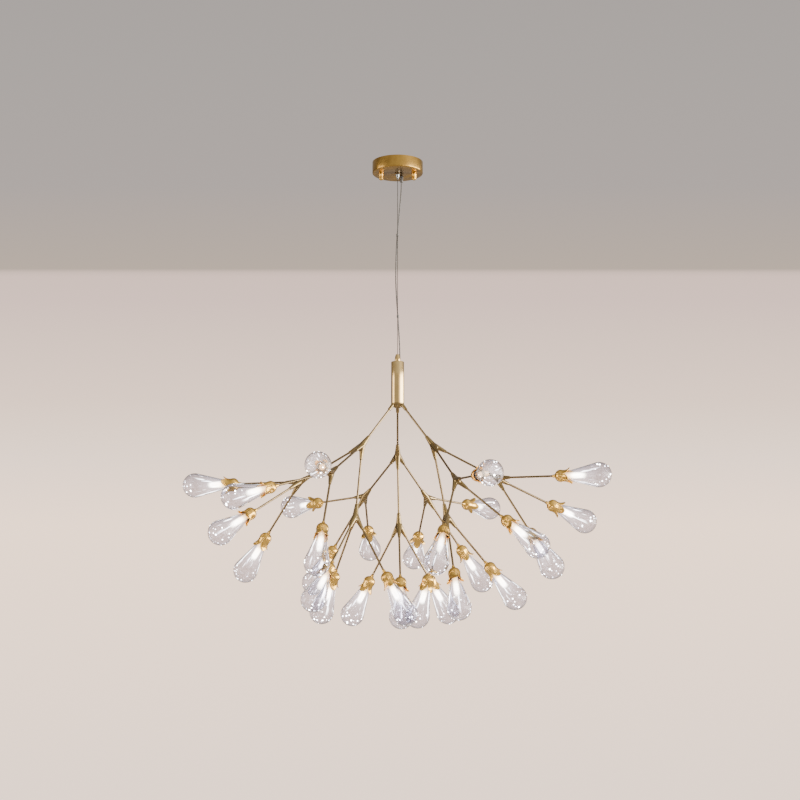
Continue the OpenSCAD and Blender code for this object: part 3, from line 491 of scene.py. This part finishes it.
def clear_glass():
    material, tree, shader = new_material("drop_glass")
    set_shader(shader, Roughness=0.0, IOR=1.45, Transmission_Weight=1.0,
               Emission_Strength=PAINTED_LIGHT_STRENGTH)
    along = attribute(tree, "along").outputs["Fac"]
    direction = attribute(tree, "round").outputs["Vector"]
    facing = tree.nodes.new("ShaderNodeLayerWeight").outputs["Facing"]
    # The base colour holds painted shade at the rim.
    tree.links.new(glass_tint(tree, along, facing), shader.inputs["Base Color"])
    # The emission paints light on the glass: glints, streaks of the capsule's reflection, and a
    # glow.
    lines = add_math(tree, "MULTIPLY", streaks(tree, along, direction), STREAK_LIGHT)
    lit = add_math(tree, "MULTIPLY", glow(tree, along, facing), GLOW_LIGHT)
    marks = add_math(tree, "MAXIMUM", painted_glints(tree, along), lines)
    light = add_math(tree, "ADD", marks, lit)
    grey = tree.nodes.new("ShaderNodeCombineColor")
    for channel in ("Red", "Green", "Blue"):
        tree.links.new(light, grey.inputs[channel])
    tree.links.new(grey.outputs["Color"], shader.inputs["Emission Color"])
    waves = add_noise(tree, object_place(tree), WAVE_SCALE, detail=1)
    add_bump(tree, shader, waves, WAVE_BUMP, WAVE_RELIEF)
    return material


finishes["drop_glass"] = clear_glass()
print(finishes["drop_glass"].name, "ready")

# %% [markdown]
# The capsule is the lit part, and the camera sees it overexposed: white in the middle of its
# length, warmer where it stands in its base. Its edge fades out, as a glow does, so its alpha
# falls where the surface turns away. The brass round it sees only a small share of its light,
# which keeps the inside of the petals from burning out.

# %% Light
CAPSULE_STRENGTH, SHARE_ON_BRASS = 22.0, 0.08
CAPSULE_SPAN, CAPSULE_FADE = (30, 83), (83, 68)
EDGE_LIGHT_POWER, EDGE_ALPHA_POWER = 1.4, 1.3


def camera_share(tree):
    """One for rays from the camera, also through glass, and nought for all others."""
    rays = tree.nodes.new("ShaderNodeLightPath").outputs
    return add_math(tree, "MAXIMUM", rays["Is Camera Ray"], rays["Is Transmission Ray"])


def lit_capsule():
    material, tree, shader = new_material("lit_capsule")
    set_shader(shader, Base_Color=(0.9, 0.82, 0.65, 1), Roughness=0.5,
               Emission_Strength=CAPSULE_STRENGTH)
    along = attribute(tree, "along").outputs["Fac"]
    warmth = add_ramp(tree, add_span(tree, along, *CAPSULE_SPAN), [
        (0.0, (0.12, 0.06, 0.02)), (0.25, (0.3, 0.2, 0.09)), (0.45, (1.0, 0.86, 0.66)),
        (0.8, (1.0, 0.92, 0.8)), (1.0, (0.3, 0.26, 0.2)),
    ])
    facing = tree.nodes.new("ShaderNodeLayerWeight").outputs["Facing"]
    end = add_span(tree, along, *CAPSULE_FADE)
    middle = add_math(tree, "POWER", add_math(tree, "SUBTRACT", 1.0, facing), EDGE_LIGHT_POWER)
    soft = add_math(tree, "MULTIPLY", middle, end)
    seen = add_span(tree, camera_share(tree), 0.0, 1.0, SHARE_ON_BRASS, 1.0)
    shine = tree.nodes.new("ShaderNodeVectorMath")
    shine.operation = "SCALE"
    tree.links.new(warmth, shine.inputs[0])
    tree.links.new(add_math(tree, "MULTIPLY", soft, seen), shine.inputs["Scale"])
    tree.links.new(shine.outputs["Vector"], shader.inputs["Emission Color"])
    body = add_math(tree, "SUBTRACT", 1.0, add_math(tree, "POWER", facing, EDGE_ALPHA_POWER))
    tree.links.new(add_math(tree, "MULTIPLY", body, end), shader.inputs["Alpha"])
    return material


finishes["lit_capsule"] = lit_capsule()
print(finishes["lit_capsule"].name, "ready")

# %% [markdown]
# The branching is the same rule three times: run out along a rod, turn about it, and lean
# away from it. Walking the rule gives the place of every lamp as one matrix.

# %% Branching
COLUMN_LENGTH, HUB_RISE = 103.5, 16.5
HUB_Z = CANOPY_FACE - DROP - COLUMN_LENGTH + HUB_RISE
MAIN_LENGTH, BRANCH_LENGTH, TWIG_LENGTH = 149, 164, 138
MAIN_TILT, TWIG_BEND, ARMS, ARM_STEP = 38.5, 32, 3, 120
SIDES = {
    "left": {"azimuth": 210, "roll": -1, "arms": ("lower", "front", "outer"),
             "bends": (33, 33, 30), "rolls": (33, 113, 100)},
    "back": {"azimuth": 90, "roll": -2, "arms": ("lower", "left", "right"),
             "bends": (32, 33, 30), "rolls": (1, 10, 103)},
    "right": {"azimuth": 330, "roll": 16, "arms": ("lower", "outer", "front"),
              "bends": (32, 28, 31), "rolls": (114, 67, 84)},
}


def turned(degrees, axis):
    return Matrix.Rotation(math.radians(degrees), 4, axis)


def outwards(length):
    return Matrix.Translation((0, 0, length))


def lamp_places(side):
    """For each cluster of a side, the three matrices that take a lamp to its twig's end."""
    places = {}
    main = outwards(HUB_Z) @ turned(side["azimuth"], "Z") @ turned(180 - MAIN_TILT, "Y")
    fork = main @ outwards(MAIN_LENGTH) @ turned(side["roll"], "Z")
    for k, arm in enumerate(side["arms"]):
        branch = fork @ turned(ARM_STEP * k, "Z") @ turned(side["bends"][k], "Y")
        branch = branch @ outwards(BRANCH_LENGTH)
        branch = branch @ turned(side["rolls"][k], "Z")
        places[arm] = []
        for j in range(ARMS):
            twig = Matrix.Scale(MM, 4) @ branch @ turned(ARM_STEP * j, "Z")
            places[arm].append(twig @ turned(TWIG_BEND, "Y") @ outwards(TWIG_LENGTH))
    return places


clusters = {}
for side_name, side in SIDES.items():
    for arm, places in lamp_places(side).items():
        clusters[side_name + "_" + arm] = places
print(len(clusters), "clusters of", len(clusters["left_lower"]), "lamps")

# %% [markdown]
# Round pieces are turned: an outline of radius and height is spun about the upright axis. Two
# more helpers draw an arc of such an outline and make the finished mesh smooth.

# %% Shaping helpers
MERGE = 1e-4


def lathe(outline, steps):
    """A bmesh spun round Z from (radius, height) points; the ends may lie on the axis."""
    shape = bmesh.new()
    corners = [shape.verts.new((r, 0, z)) for r, z in outline]
    edges = [shape.edges.new(pair) for pair in zip(corners, corners[1:])]
    bmesh.ops.spin(shape, geom=edges, axis=(0, 0, 1), cent=(0, 0, 0), angle=2 * math.pi,
                   steps=steps, use_merge=True)
    bmesh.ops.remove_doubles(shape, verts=shape.verts, dist=MERGE)
    bmesh.ops.recalc_face_normals(shape, faces=shape.faces)
    return shape


def arc(centre, radius, start, end, steps):
    """Points of an arc in the (radius, height) plane; angles in degrees from level."""
    points = []
    for s in range(steps + 1):
        angle = math.radians(start + (end - start) * s / steps)
        points.append((centre[0] + radius * math.cos(angle), centre[1] + radius * math.sin(angle)))
    return points


def to_mesh(shape, name, smooth_below=40):
    """Turns a bmesh into a mesh that is smooth except across edges sharper than the angle."""
    limit = math.radians(smooth_below)
    for edge in shape.edges:
        edge.smooth = len(edge.link_faces) < 2 or edge.calc_face_angle(0) < limit
    for face in shape.faces:
        face.smooth = True
    mesh = bpy.data.meshes.new(name)
    shape.to_mesh(mesh)
    shape.free()
    return mesh


def with_modifiers(shape, name, settings):
    """The mesh of a shape after modifiers: each setting is a type and its values."""
    mesh = bpy.data.meshes.new(name)
    shape.to_mesh(mesh)
    shape.free()
    helper = bpy.data.objects.new(name, mesh)
    bpy.context.scene.collection.objects.link(helper)
    for kind, values in settings:
        modifier = helper.modifiers.new(kind.lower(), kind)
        for key, value in values.items():
            setattr(modifier, key, value)
    bpy.context.view_layer.update()
    evaluated = helper.evaluated_get(bpy.context.evaluated_depsgraph_get())
    result = bpy.data.meshes.new_from_object(evaluated)
    bpy.data.objects.remove(helper)
    return result


print("shaping helpers ready")

# %% [markdown]
# Each lamp piece is shaped once, in millimetres, standing upright on the end of its twig. A
# copy then goes to every place. Three copies make one piece, as in the CAD model.

# %% Placing helpers
ROUND_PITCH = 300


def mark_places(shape):
    """Stores each point's height and its direction from the axis, for the materials."""
    along = shape.verts.layers.float.new("along")
    direction = shape.verts.layers.float_vector.new("round")
    for vert in shape.verts:
        reach = max(math.hypot(vert.co.x, vert.co.y), 1e-6)
        vert[along] = vert.co.z
        vert[direction] = (vert.co.x / reach, vert.co.y / reach, vert.co.z / ROUND_PITCH)


def show(name, mesh, finish, body, *replaced):
    """Puts a finished mesh in the scene, on its body and in place of its CAD nodes."""
    piece = bpy.data.objects.new(name, mesh)
    bpy.context.scene.collection.objects.link(piece)
    piece.data.materials.clear()
    piece.data.materials.append(finishes[finish])
    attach(piece, body)
    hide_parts(*replaced)
    return piece


def repeat(name, template, places):
    """One mesh that holds a copy of the template at each place."""
    joined = bmesh.new()
    for place in places:
        copy = template.copy()
        copy.transform(place)
        joined.from_mesh(copy)
        bpy.data.meshes.remove(copy)
    mesh = bpy.data.meshes.new(name)
    joined.to_mesh(mesh)
    joined.free()
    return mesh


def show_clusters(ending, template, finish, cad_ending):
    """Shows a lamp piece once for each cluster of three lamps."""
    pieces = []
    for cluster, places in clusters.items():
        name = cluster + ending
        mesh = repeat(name, template, places)
        pieces.append(show(name, mesh, finish, "pendant", cluster + cad_ending))
    return pieces


print("placing helpers ready")

# %% [markdown]
# The glass is a blown drop: a straight neck, a long cone and a round end. Its wall is one
# millimetre thick, and it needs both skins, because glass bends light at each of them. The
# outline runs up the outside and back down the inside, and one spin closes it.

# %% Glass drops
GLASS_END, GLASS_D, GLASS_NECK_D, GLASS_WALL = 138, 56, 17.4, 1.0
GLASS_RIM, GLASS_CONE, NECK_STRAIGHT = 23.7, 30.7, 2
CONE_STEPS, BALL_STEPS = 8, 26


def drop_skin(neck_r, ball_r, rim):
    """Outline of one skin of the drop, from its rim to its tip on the axis."""
    centre = GLASS_END - GLASS_D / 2
    reach = centre - GLASS_CONE
    lean = math.asin(ball_r / math.hypot(neck_r, reach)) - math.atan(neck_r / reach)
    ball = arc((0, centre), ball_r, -math.degrees(lean), 90, BALL_STEPS)
    wide, high = ball[0]
    cone = [(neck_r + (wide - neck_r) * t / CONE_STEPS,
             GLASS_CONE + (high - GLASS_CONE) * t / CONE_STEPS) for t in range(CONE_STEPS)]
    return [(neck_r, rim), (neck_r, GLASS_CONE - NECK_STRAIGHT)] + cone + ball


outside = drop_skin(GLASS_NECK_D / 2, GLASS_D / 2, GLASS_RIM)
inside = drop_skin(GLASS_NECK_D / 2 - GLASS_WALL, GLASS_D / 2 - GLASS_WALL, GLASS_RIM)
drop = lathe(outside + inside[::-1] + outside[:1], steps=64)
mark_places(drop)
drop_mesh = to_mesh(drop, "drop", 60)
for piece in show_clusters("_drops", drop_mesh, "drop_glass", "_glass"):
    piece.visible_shadow = False
print("drop of", len(drop_mesh.polygons), "faces")

# %% [markdown]
# Inside each drop glows a capsule with a round end, the only bright thing in the picture.

# %% Light capsules
CAPSULE_D, CAPSULE_FOOT, CAPSULE_LENGTH, CAPSULE_STEPS = 14.4, 30.2, 52, 12
capsule_r = CAPSULE_D / 2
capsule_top = CAPSULE_FOOT + CAPSULE_LENGTH - capsule_r
capsule_side = [(capsule_r, CAPSULE_FOOT + (capsule_top - CAPSULE_FOOT) * t / CAPSULE_STEPS)
                for t in range(CAPSULE_STEPS)]
capsule_outline = [(0, CAPSULE_FOOT)] + capsule_side + arc((0, capsule_top), capsule_r, 0, 90, 10)
capsule = lathe(capsule_outline, steps=32)
mark_places(capsule)
capsule_mesh = to_mesh(capsule, "capsule", 50)
for side_name, side in SIDES.items():
    places = [place for arm in side["arms"] for place in clusters[side_name + "_" + arm]]
    name = side_name + "_lights"
    show(name, repeat(name, capsule_mesh, places), "lit_capsule", "pendant",
         side_name + "_capsules")
print("capsule of", len(capsule_mesh.polygons), "faces")

# %% [markdown]
# The cup is a flower cast in brass: a round bowl that opens into four pointed petals, which
# lean outwards. Its side is two arcs, one for the bowl and one for the lean, and the petal's
# width is set by how far along that side a point lies.

# %% Side of the cup
CUP_R, CUP_RISE, CURL_R, CURL_START, CURL_SWEEP = 12.5, 19.5, 22.0, 13, 60
PETALS, PETAL_WALL, PETAL_W, PETAL_TIP, PETAL_GAP = 4, 1.2, 18.4, 2.4, 0.6
BOWL_FOOT, BOWL_ROWS, WAIST_ROWS, CURL_ROWS = -72, 14, 3, 16
curl_angle = math.radians(CURL_START)
curl_centre = ((CUP_R + CURL_R) * math.cos(curl_angle),
               CUP_RISE + (CUP_R + CURL_R) * math.sin(curl_angle))
curl_from = 180 + CURL_START
cup_profile = arc((0, CUP_RISE), CUP_R, BOWL_FOOT, 0, BOWL_ROWS)
cup_profile += arc((0, CUP_RISE), CUP_R, 0, CURL_START, WAIST_ROWS)[1:]
cup_profile += arc(curl_centre, CURL_R, curl_from, curl_from - CURL_SWEEP, CURL_ROWS)[1:]
row_steps = [math.dist(a, b) for a, b in zip(cup_profile, cup_profile[1:])]
petal_length = sum(row_steps[BOWL_ROWS:])
tips_apart = 2 * cup_profile[-1][0]
print("petal", round(petal_length, 1), "mm long, tips", round(tips_apart, 1), "mm apart")

# %% [markdown]
# A flat grid is bent into one petal with its quarter of the bowl. Shallow ribs run along it and
# its middle stands a little proud, as on the real flower, so the light breaks into stripes.
# Three more copies are turned round, and the seams of the bowl are merged.

# %% Petal sheet
RIBS, RIB_DEPTH, CROWN, RIB_FADE_ROWS = 2.5, 0.14, 0.6, 8
SHEET_COLUMNS, SEAM = 26, 0.02
TAPER_START, TAPER_ROUND = 5, 0.85


def petal_half(row):
    """Half the petal's angle in a row: whole round the bowl, nearly a point at the tip."""
    quarter = 180 / PETALS
    if row <= BOWL_ROWS:
        return quarter
    radius = cup_profile[row][0]
    share = sum(row_steps[BOWL_ROWS:row]) / petal_length
    width = PETAL_TIP + (PETAL_W - PETAL_TIP) * (1 - share**TAPER_START) ** TAPER_ROUND
    return min(math.degrees(width / 2 / radius), quarter - math.degrees(PETAL_GAP / radius))


def petal_sheet():
    """One petal with its part of the bowl, bent from a grid."""
    rows = len(cup_profile) - 1
    sheet = bmesh.new()
    bmesh.ops.create_grid(sheet, x_segments=SHEET_COLUMNS, y_segments=rows, size=1)
    for vert in sheet.verts:
        row = round((vert.co.y + 1) / 2 * rows)
        side = vert.co.x
        radius, height = cup_profile[row]
        rise = min(row / RIB_FADE_ROWS, 1)
        rib = RIB_DEPTH * math.cos(2 * math.pi * RIBS * side)
        radius += rise * (rib + CROWN * (0.5 - side * side))
        angle = math.radians(side * petal_half(row))
        vert.co = (radius * math.cos(angle), radius * math.sin(angle), height)
    return sheet


cup = bmesh.new()
sheet_mesh = bpy.data.meshes.new("petal_sheet")
petal_sheet().to_mesh(sheet_mesh)
for petal in range(PETALS):
    copy = sheet_mesh.copy()
    copy.transform(turned(360 / PETALS * petal, "Z"))
    cup.from_mesh(copy)
bmesh.ops.remove_doubles(cup, verts=cup.verts, dist=SEAM)
bmesh.ops.recalc_face_normals(cup, faces=cup.faces)
print("cup sheet of", len(cup.faces), "faces")

# %% [markdown]
# Modifiers give the sheet its thickness and break its edges. The neck, where the twig goes in,
# is spun and added below the bowl.

# %% Cup wall and neck
cup_mesh = with_modifiers(cup, "cup", [
    ("SOLIDIFY", {"thickness": PETAL_WALL, "offset": -1, "use_even_offset": False}),
    ("BEVEL", {"width": 0.3, "segments": 2, "limit_method": "ANGLE",
               "angle_limit": math.radians(50)}),
])
neck_outline = [(2.45, 0), (3.1, 0), (3.4, 0.3), (3.5, 1.2), (3.9, 4), (4.5, 6.6), (5.2, 8.2),
                (6.6, 9.4), (6.2, 10.6), (0, 10.9)]
neck = lathe(neck_outline, steps=40)
neck_mesh = with_modifiers(neck, "neck", [("SUBSURF", {"levels": 1, "render_levels": 1})])
petals = bmesh.new()
petals.from_mesh(cup_mesh)
petals.from_mesh(neck_mesh)
petals_mesh = to_mesh(petals, "petals", 60)
show_clusters("_flowers", petals_mesh, "polished_brass", "_petals")
print("cup of", len(petals_mesh.polygons), "faces")

# %% [markdown]
# The forks are castings, with soft edges where their arms meet. A copy of each CAD fork is
# remeshed into small even cells and smoothed, which melts the sharp creases as lacquer and
# polishing do.

# %% Forks
VOXEL, SMOOTHING, CAD_MERGE = 0.75, 6, 1e-6


def merged_copy(node):
    """A bmesh of a CAD node with its split corners joined; the node itself stays as it is."""
    shape = bmesh.new()
    shape.from_mesh(nodes[node].data)
    bmesh.ops.remove_doubles(shape, verts=shape.verts, dist=CAD_MERGE)
    return shape


for group_name in ("main", "left", "back", "right"):
    name = group_name + "_castings"
    mesh = with_modifiers(merged_copy(group_name + "_forks"), name, [
        ("REMESH", {"mode": "VOXEL", "voxel_size": VOXEL * MM, "use_smooth_shade": True}),
        ("SMOOTH", {"factor": 0.5, "iterations": SMOOTHING}),
    ])
    show(name, mesh, "cast_brass", "pendant", group_name + "_forks")
    print(group_name, "forks of", len(mesh.polygons), "faces")

# %% [markdown]
# The other pieces keep their CAD shape. The ones that show have their edges broken by a small
# bevel on a merged copy, because no real edge is perfectly sharp, and the thin bright line is
# what the eye reads. The rest keep their CAD mesh and get a finish.

# %% Pieces with broken edges
FLAT_ANGLE, SHARP_ANGLE = 0.5, 35
EASED = {
    "canopy": 0.9, "canopy_nuts": 0.15, "gripper_body": 0.2, "gripper_nut": 0.2,
    "gripper_plunger": 0.2, "column_tube": 0.2, "column_grommet": 0.15, "cord_ties": 0.2,
    "cord_boot": 0.3, "ceiling_bracket": 0.2, "left_lampholders": 0.3,
    "back_lampholders": 0.3, "right_lampholders": 0.3,
}


def eased(name, node, bevel):
    """A merged copy of a CAD node with its sharp edges bevelled, in millimetres."""
    shape = merged_copy(node)
    bmesh.ops.dissolve_limit(shape, angle_limit=math.radians(FLAT_ANGLE), verts=shape.verts,
                             edges=shape.edges)
    sharp = [edge for edge in shape.edges if len(edge.link_faces) == 2
             and edge.calc_face_angle(0) > math.radians(SHARP_ANGLE)]
    bmesh.ops.bevel(shape, geom=sharp, offset=bevel * MM, offset_type="OFFSET", segments=2,
                    profile=0.5, affect="EDGES", clamp_overlap=True, material=-1)
    return to_mesh(shape, name, 50)


for node, bevel in EASED.items():
    mesh = eased(node + "_eased", node, bevel)
    show(node + "_eased", mesh, slot_of[node], body_of[node], node)
    print(node, "eased,", len(mesh.polygons), "faces")

# %% [markdown]
# Inside the gripper a coil spring pushes the plunger out. Its upper end rests in the chamber,
# and on the real gripper its lower end goes up with the plunger, so the coil gets shorter by the
# plunger's travel. Here it is one fixed coil that fills the box of the CAD spring.

# %% Plunger spring
SPRING_WIRE, SPRING_TURNS, TURN_STEPS, WIRE_SIDES, PLUNGER_TRAVEL = 0.8, 4, 28, 10, 2.0


def coil(foot, top, outer_r):
    """A coil of round wire between two heights, in millimetres."""
    shape = bmesh.new()
    wire_r = SPRING_WIRE / 2
    ring = bmesh.ops.create_circle(shape, cap_ends=False, segments=WIRE_SIDES, radius=wire_r,
                                   matrix=turned(90, "X"))["verts"]
    bmesh.ops.translate(shape, verts=ring, vec=(outer_r - wire_r, 0, foot + wire_r))
    count = SPRING_TURNS * TURN_STEPS
    rise = (top - foot - SPRING_WIRE) / count
    bmesh.ops.spin(shape, geom=shape.edges[:], axis=(0, 0, 1), cent=(0, 0, 0),
                   dvec=(0, 0, rise), angle=2 * math.pi * SPRING_TURNS, steps=count)
    ends = [edge for edge in shape.edges if edge.is_boundary]
    bmesh.ops.holes_fill(shape, edges=ends, sides=0)
    bmesh.ops.recalc_face_normals(shape, faces=shape.faces)
    return shape


spring_low, spring_high = (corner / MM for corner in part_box("gripper_spring"))
spring_shape = coil(spring_low.z, spring_high.z, spring_high.x)
bmesh.ops.scale(spring_shape, verts=spring_shape.verts, vec=(MM, MM, MM))
spring = show("plunger_spring", to_mesh(spring_shape, "plunger_spring", 60), "zinc_steel",
              "ceiling_side", "gripper_spring")
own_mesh(spring)

# %% [markdown]
# Every CAD node gets its own finish too, also those that a new piece stands for.

# %% Finishes on the CAD nodes
for node, item in nodes.items():
    item.data.materials.clear()
    item.data.materials.append(finishes[slot_of[node]])
print("finishes on", len(nodes), "nodes")

# %% [markdown]
# A plain pale floor lies below, a soft key light stands in front on the right, and a weaker
# light on the left. They light the floor and the white parts. What the brass mirrors comes
# from the room, in the last step, so these lights are kept out of its reflections.

# %% Floor and lights
FLOOR_Z, FLOOR_HALF = -2.4, 7
MIDDLE = (0, 0, -0.75)


def make_floor():
    shape = bmesh.new()
    bmesh.ops.create_grid(shape, x_segments=1, y_segments=1, size=FLOOR_HALF)
    bmesh.ops.translate(shape, verts=shape.verts, vec=(0, 0, FLOOR_Z))
    floor = bpy.data.objects.new("floor", to_mesh(shape, "floor"))
    bpy.context.scene.collection.objects.link(floor)
    material, tree, shader = new_material("pale_floor")
    set_shader(shader, Base_Color=(0.62, 0.58, 0.56, 1), Roughness=0.8)
    add_bump(tree, shader, add_noise(tree, object_place(tree), 30), 0.2, 0.5)
    floor.data.materials.append(material)


def area_light(name, place, size, power, colour):
    """A square light that shines at the middle of the lamp and isn't mirrored in the brass."""
    light = bpy.data.lights.new(name, "AREA")
    light.size = size
    light.energy = power
    light.color = colour
    lamp = bpy.data.objects.new(name, light)
    lamp.location = place
    way = Vector(MIDDLE) - Vector(place)
    lamp.rotation_euler = way.to_track_quat("-Z", "Y").to_euler()
    lamp.visible_glossy = False
    bpy.context.scene.collection.objects.link(lamp)


make_floor()
area_light("key", (2.4, -2.6, 0.3), size=1.6, power=60, colour=(1.0, 0.97, 0.93))
area_light("fill", (-2.8, -2.0, -0.4), size=2.2, power=25, colour=(1, 1, 1))
print("floor at", FLOOR_Z, "m")

# %% [markdown]
# The sky stands for a plain room. Where the camera looks past the object or through its glass,
# it sees a pale beige wall with painted bands of light and shade and, above a level line, a
# ceiling made greyer by painted shade. The line is straight because it is drawn on the height
# of a view line over its reach, as on a flat wall.

# %% Wall and ceiling
WALL_STRENGTH = 2.4
WALL_SPAN, LEAST_REACH = (-0.1, 0.5), 0.02
world = bpy.data.worlds.new("studio")
world.use_nodes = True
bpy.context.scene.world = world
tree = world.node_tree
tree.nodes.clear()
direction = tree.nodes.new("ShaderNodeTexCoord").outputs["Generated"]
split = tree.nodes.new("ShaderNodeSeparateXYZ")
tree.links.new(direction, split.inputs["Vector"])
east, north, up = (split.outputs[axis] for axis in ("X", "Y", "Z"))

sideways, ahead = add_math(tree, "ABSOLUTE", east), add_math(tree, "ABSOLUTE", north)
reach = add_math(tree, "MAXIMUM", sideways, ahead)
rise = add_math(tree, "DIVIDE", up, add_math(tree, "MAXIMUM", reach, LEAST_REACH))
# Painted light and shade on the backdrop: the wall grows lighter, then darker towards the corner,
# and the ceiling above is greyer.
painted_wall_light_and_shade = add_ramp(tree, add_span(tree, rise, *WALL_SPAN), [
    (0.0, (0.84, 0.65, 0.53)), (0.135, (0.854, 0.658, 0.533)), (0.37, (1.0, 0.73, 0.554)),
    (0.432, (0.817, 0.625, 0.508)), (0.489, (0.675, 0.508, 0.408)), (0.586, (0.517, 0.38, 0.333)),
    (0.612, (0.5, 0.37, 0.32)), (0.617, (0.285, 0.23, 0.19)), (0.7, (0.233, 0.204, 0.19)),
    (0.83, (0.217, 0.196, 0.183)), (1.0, (0.2, 0.18, 0.17)),
])
print("wall and ceiling of", len(tree.nodes), "nodes")

# %% [markdown]
# Brass shows what it mirrors, so its reflections see another room: a tall bright window on the
# right, a paler side on the left, a quiet side behind the camera and a dark corner at the back.
# These give the column its white stripe, its brown middle and its darker left edge. The window
# ends above, where the tones are quieter, and the floor below is a dim brown.

# %% Room for the reflections
ROOM_STRENGTH = 12.0
CEILING_FADE, FLOOR_FADE, FLOOR_SHARE = (0.205, 0.255), (-0.3, -0.6), 0.9
FLOOR_TONE = (0.1, 0.09, 0.073, 1)
turn_angle = add_math(tree, "ARCTAN2", east, add_math(tree, "MULTIPLY", north, -1.0))
round_share = add_span(tree, turn_angle, -math.pi, math.pi)
sides = add_ramp(tree, round_share, [
    (0.0, (0.03, 0.027, 0.024)), (0.16, (0.008, 0.007, 0.006)), (0.225, (0.015, 0.013, 0.011)),
    (0.24, (0.34, 0.31, 0.27)), (0.32, (0.34, 0.31, 0.27)), (0.345, (0.046, 0.044, 0.039)),
    (0.55, (0.05, 0.047, 0.04)), (0.58, (0.2, 0.18, 0.155)), (0.63, (0.22, 0.2, 0.17)),
    (0.655, (1.0, 0.97, 0.91)), (0.82, (1.0, 0.97, 0.91)), (0.84, (0.04, 0.035, 0.03)),
    (1.0, (0.03, 0.027, 0.024)),
])
above = add_ramp(tree, round_share, [
    (0.0, (0.03, 0.028, 0.024)), (0.2, (0.025, 0.023, 0.02)), (0.4, (0.05, 0.048, 0.042)),
    (0.55, (0.07, 0.068, 0.058)), (0.66, (0.11, 0.106, 0.094)), (0.76, (0.085, 0.081, 0.071)),
    (0.86, (0.03, 0.028, 0.024)), (1.0, (0.03, 0.028, 0.024)),
])
room = add_mix(tree, add_span(tree, up, *CEILING_FADE), sides, above)
room = add_mix(tree, add_span(tree, up, *FLOOR_FADE, 0.0, FLOOR_SHARE), room, FLOOR_TONE)


def background(colour, strength):
    node = tree.nodes.new("ShaderNodeBackground")
    node.inputs["Strength"].default_value = strength
    tree.links.new(colour, node.inputs["Color"])
    return node.outputs["Background"]


choice = tree.nodes.new("ShaderNodeMixShader")
output = tree.nodes.new("ShaderNodeOutputWorld")
tree.links.new(camera_share(tree), choice.inputs["Fac"])
tree.links.new(background(room, ROOM_STRENGTH), choice.inputs[1])
tree.links.new(background(painted_wall_light_and_shade, WALL_STRENGTH), choice.inputs[2])
tree.links.new(choice.outputs["Shader"], output.inputs["Surface"])
print("room of", len(tree.nodes), "nodes")
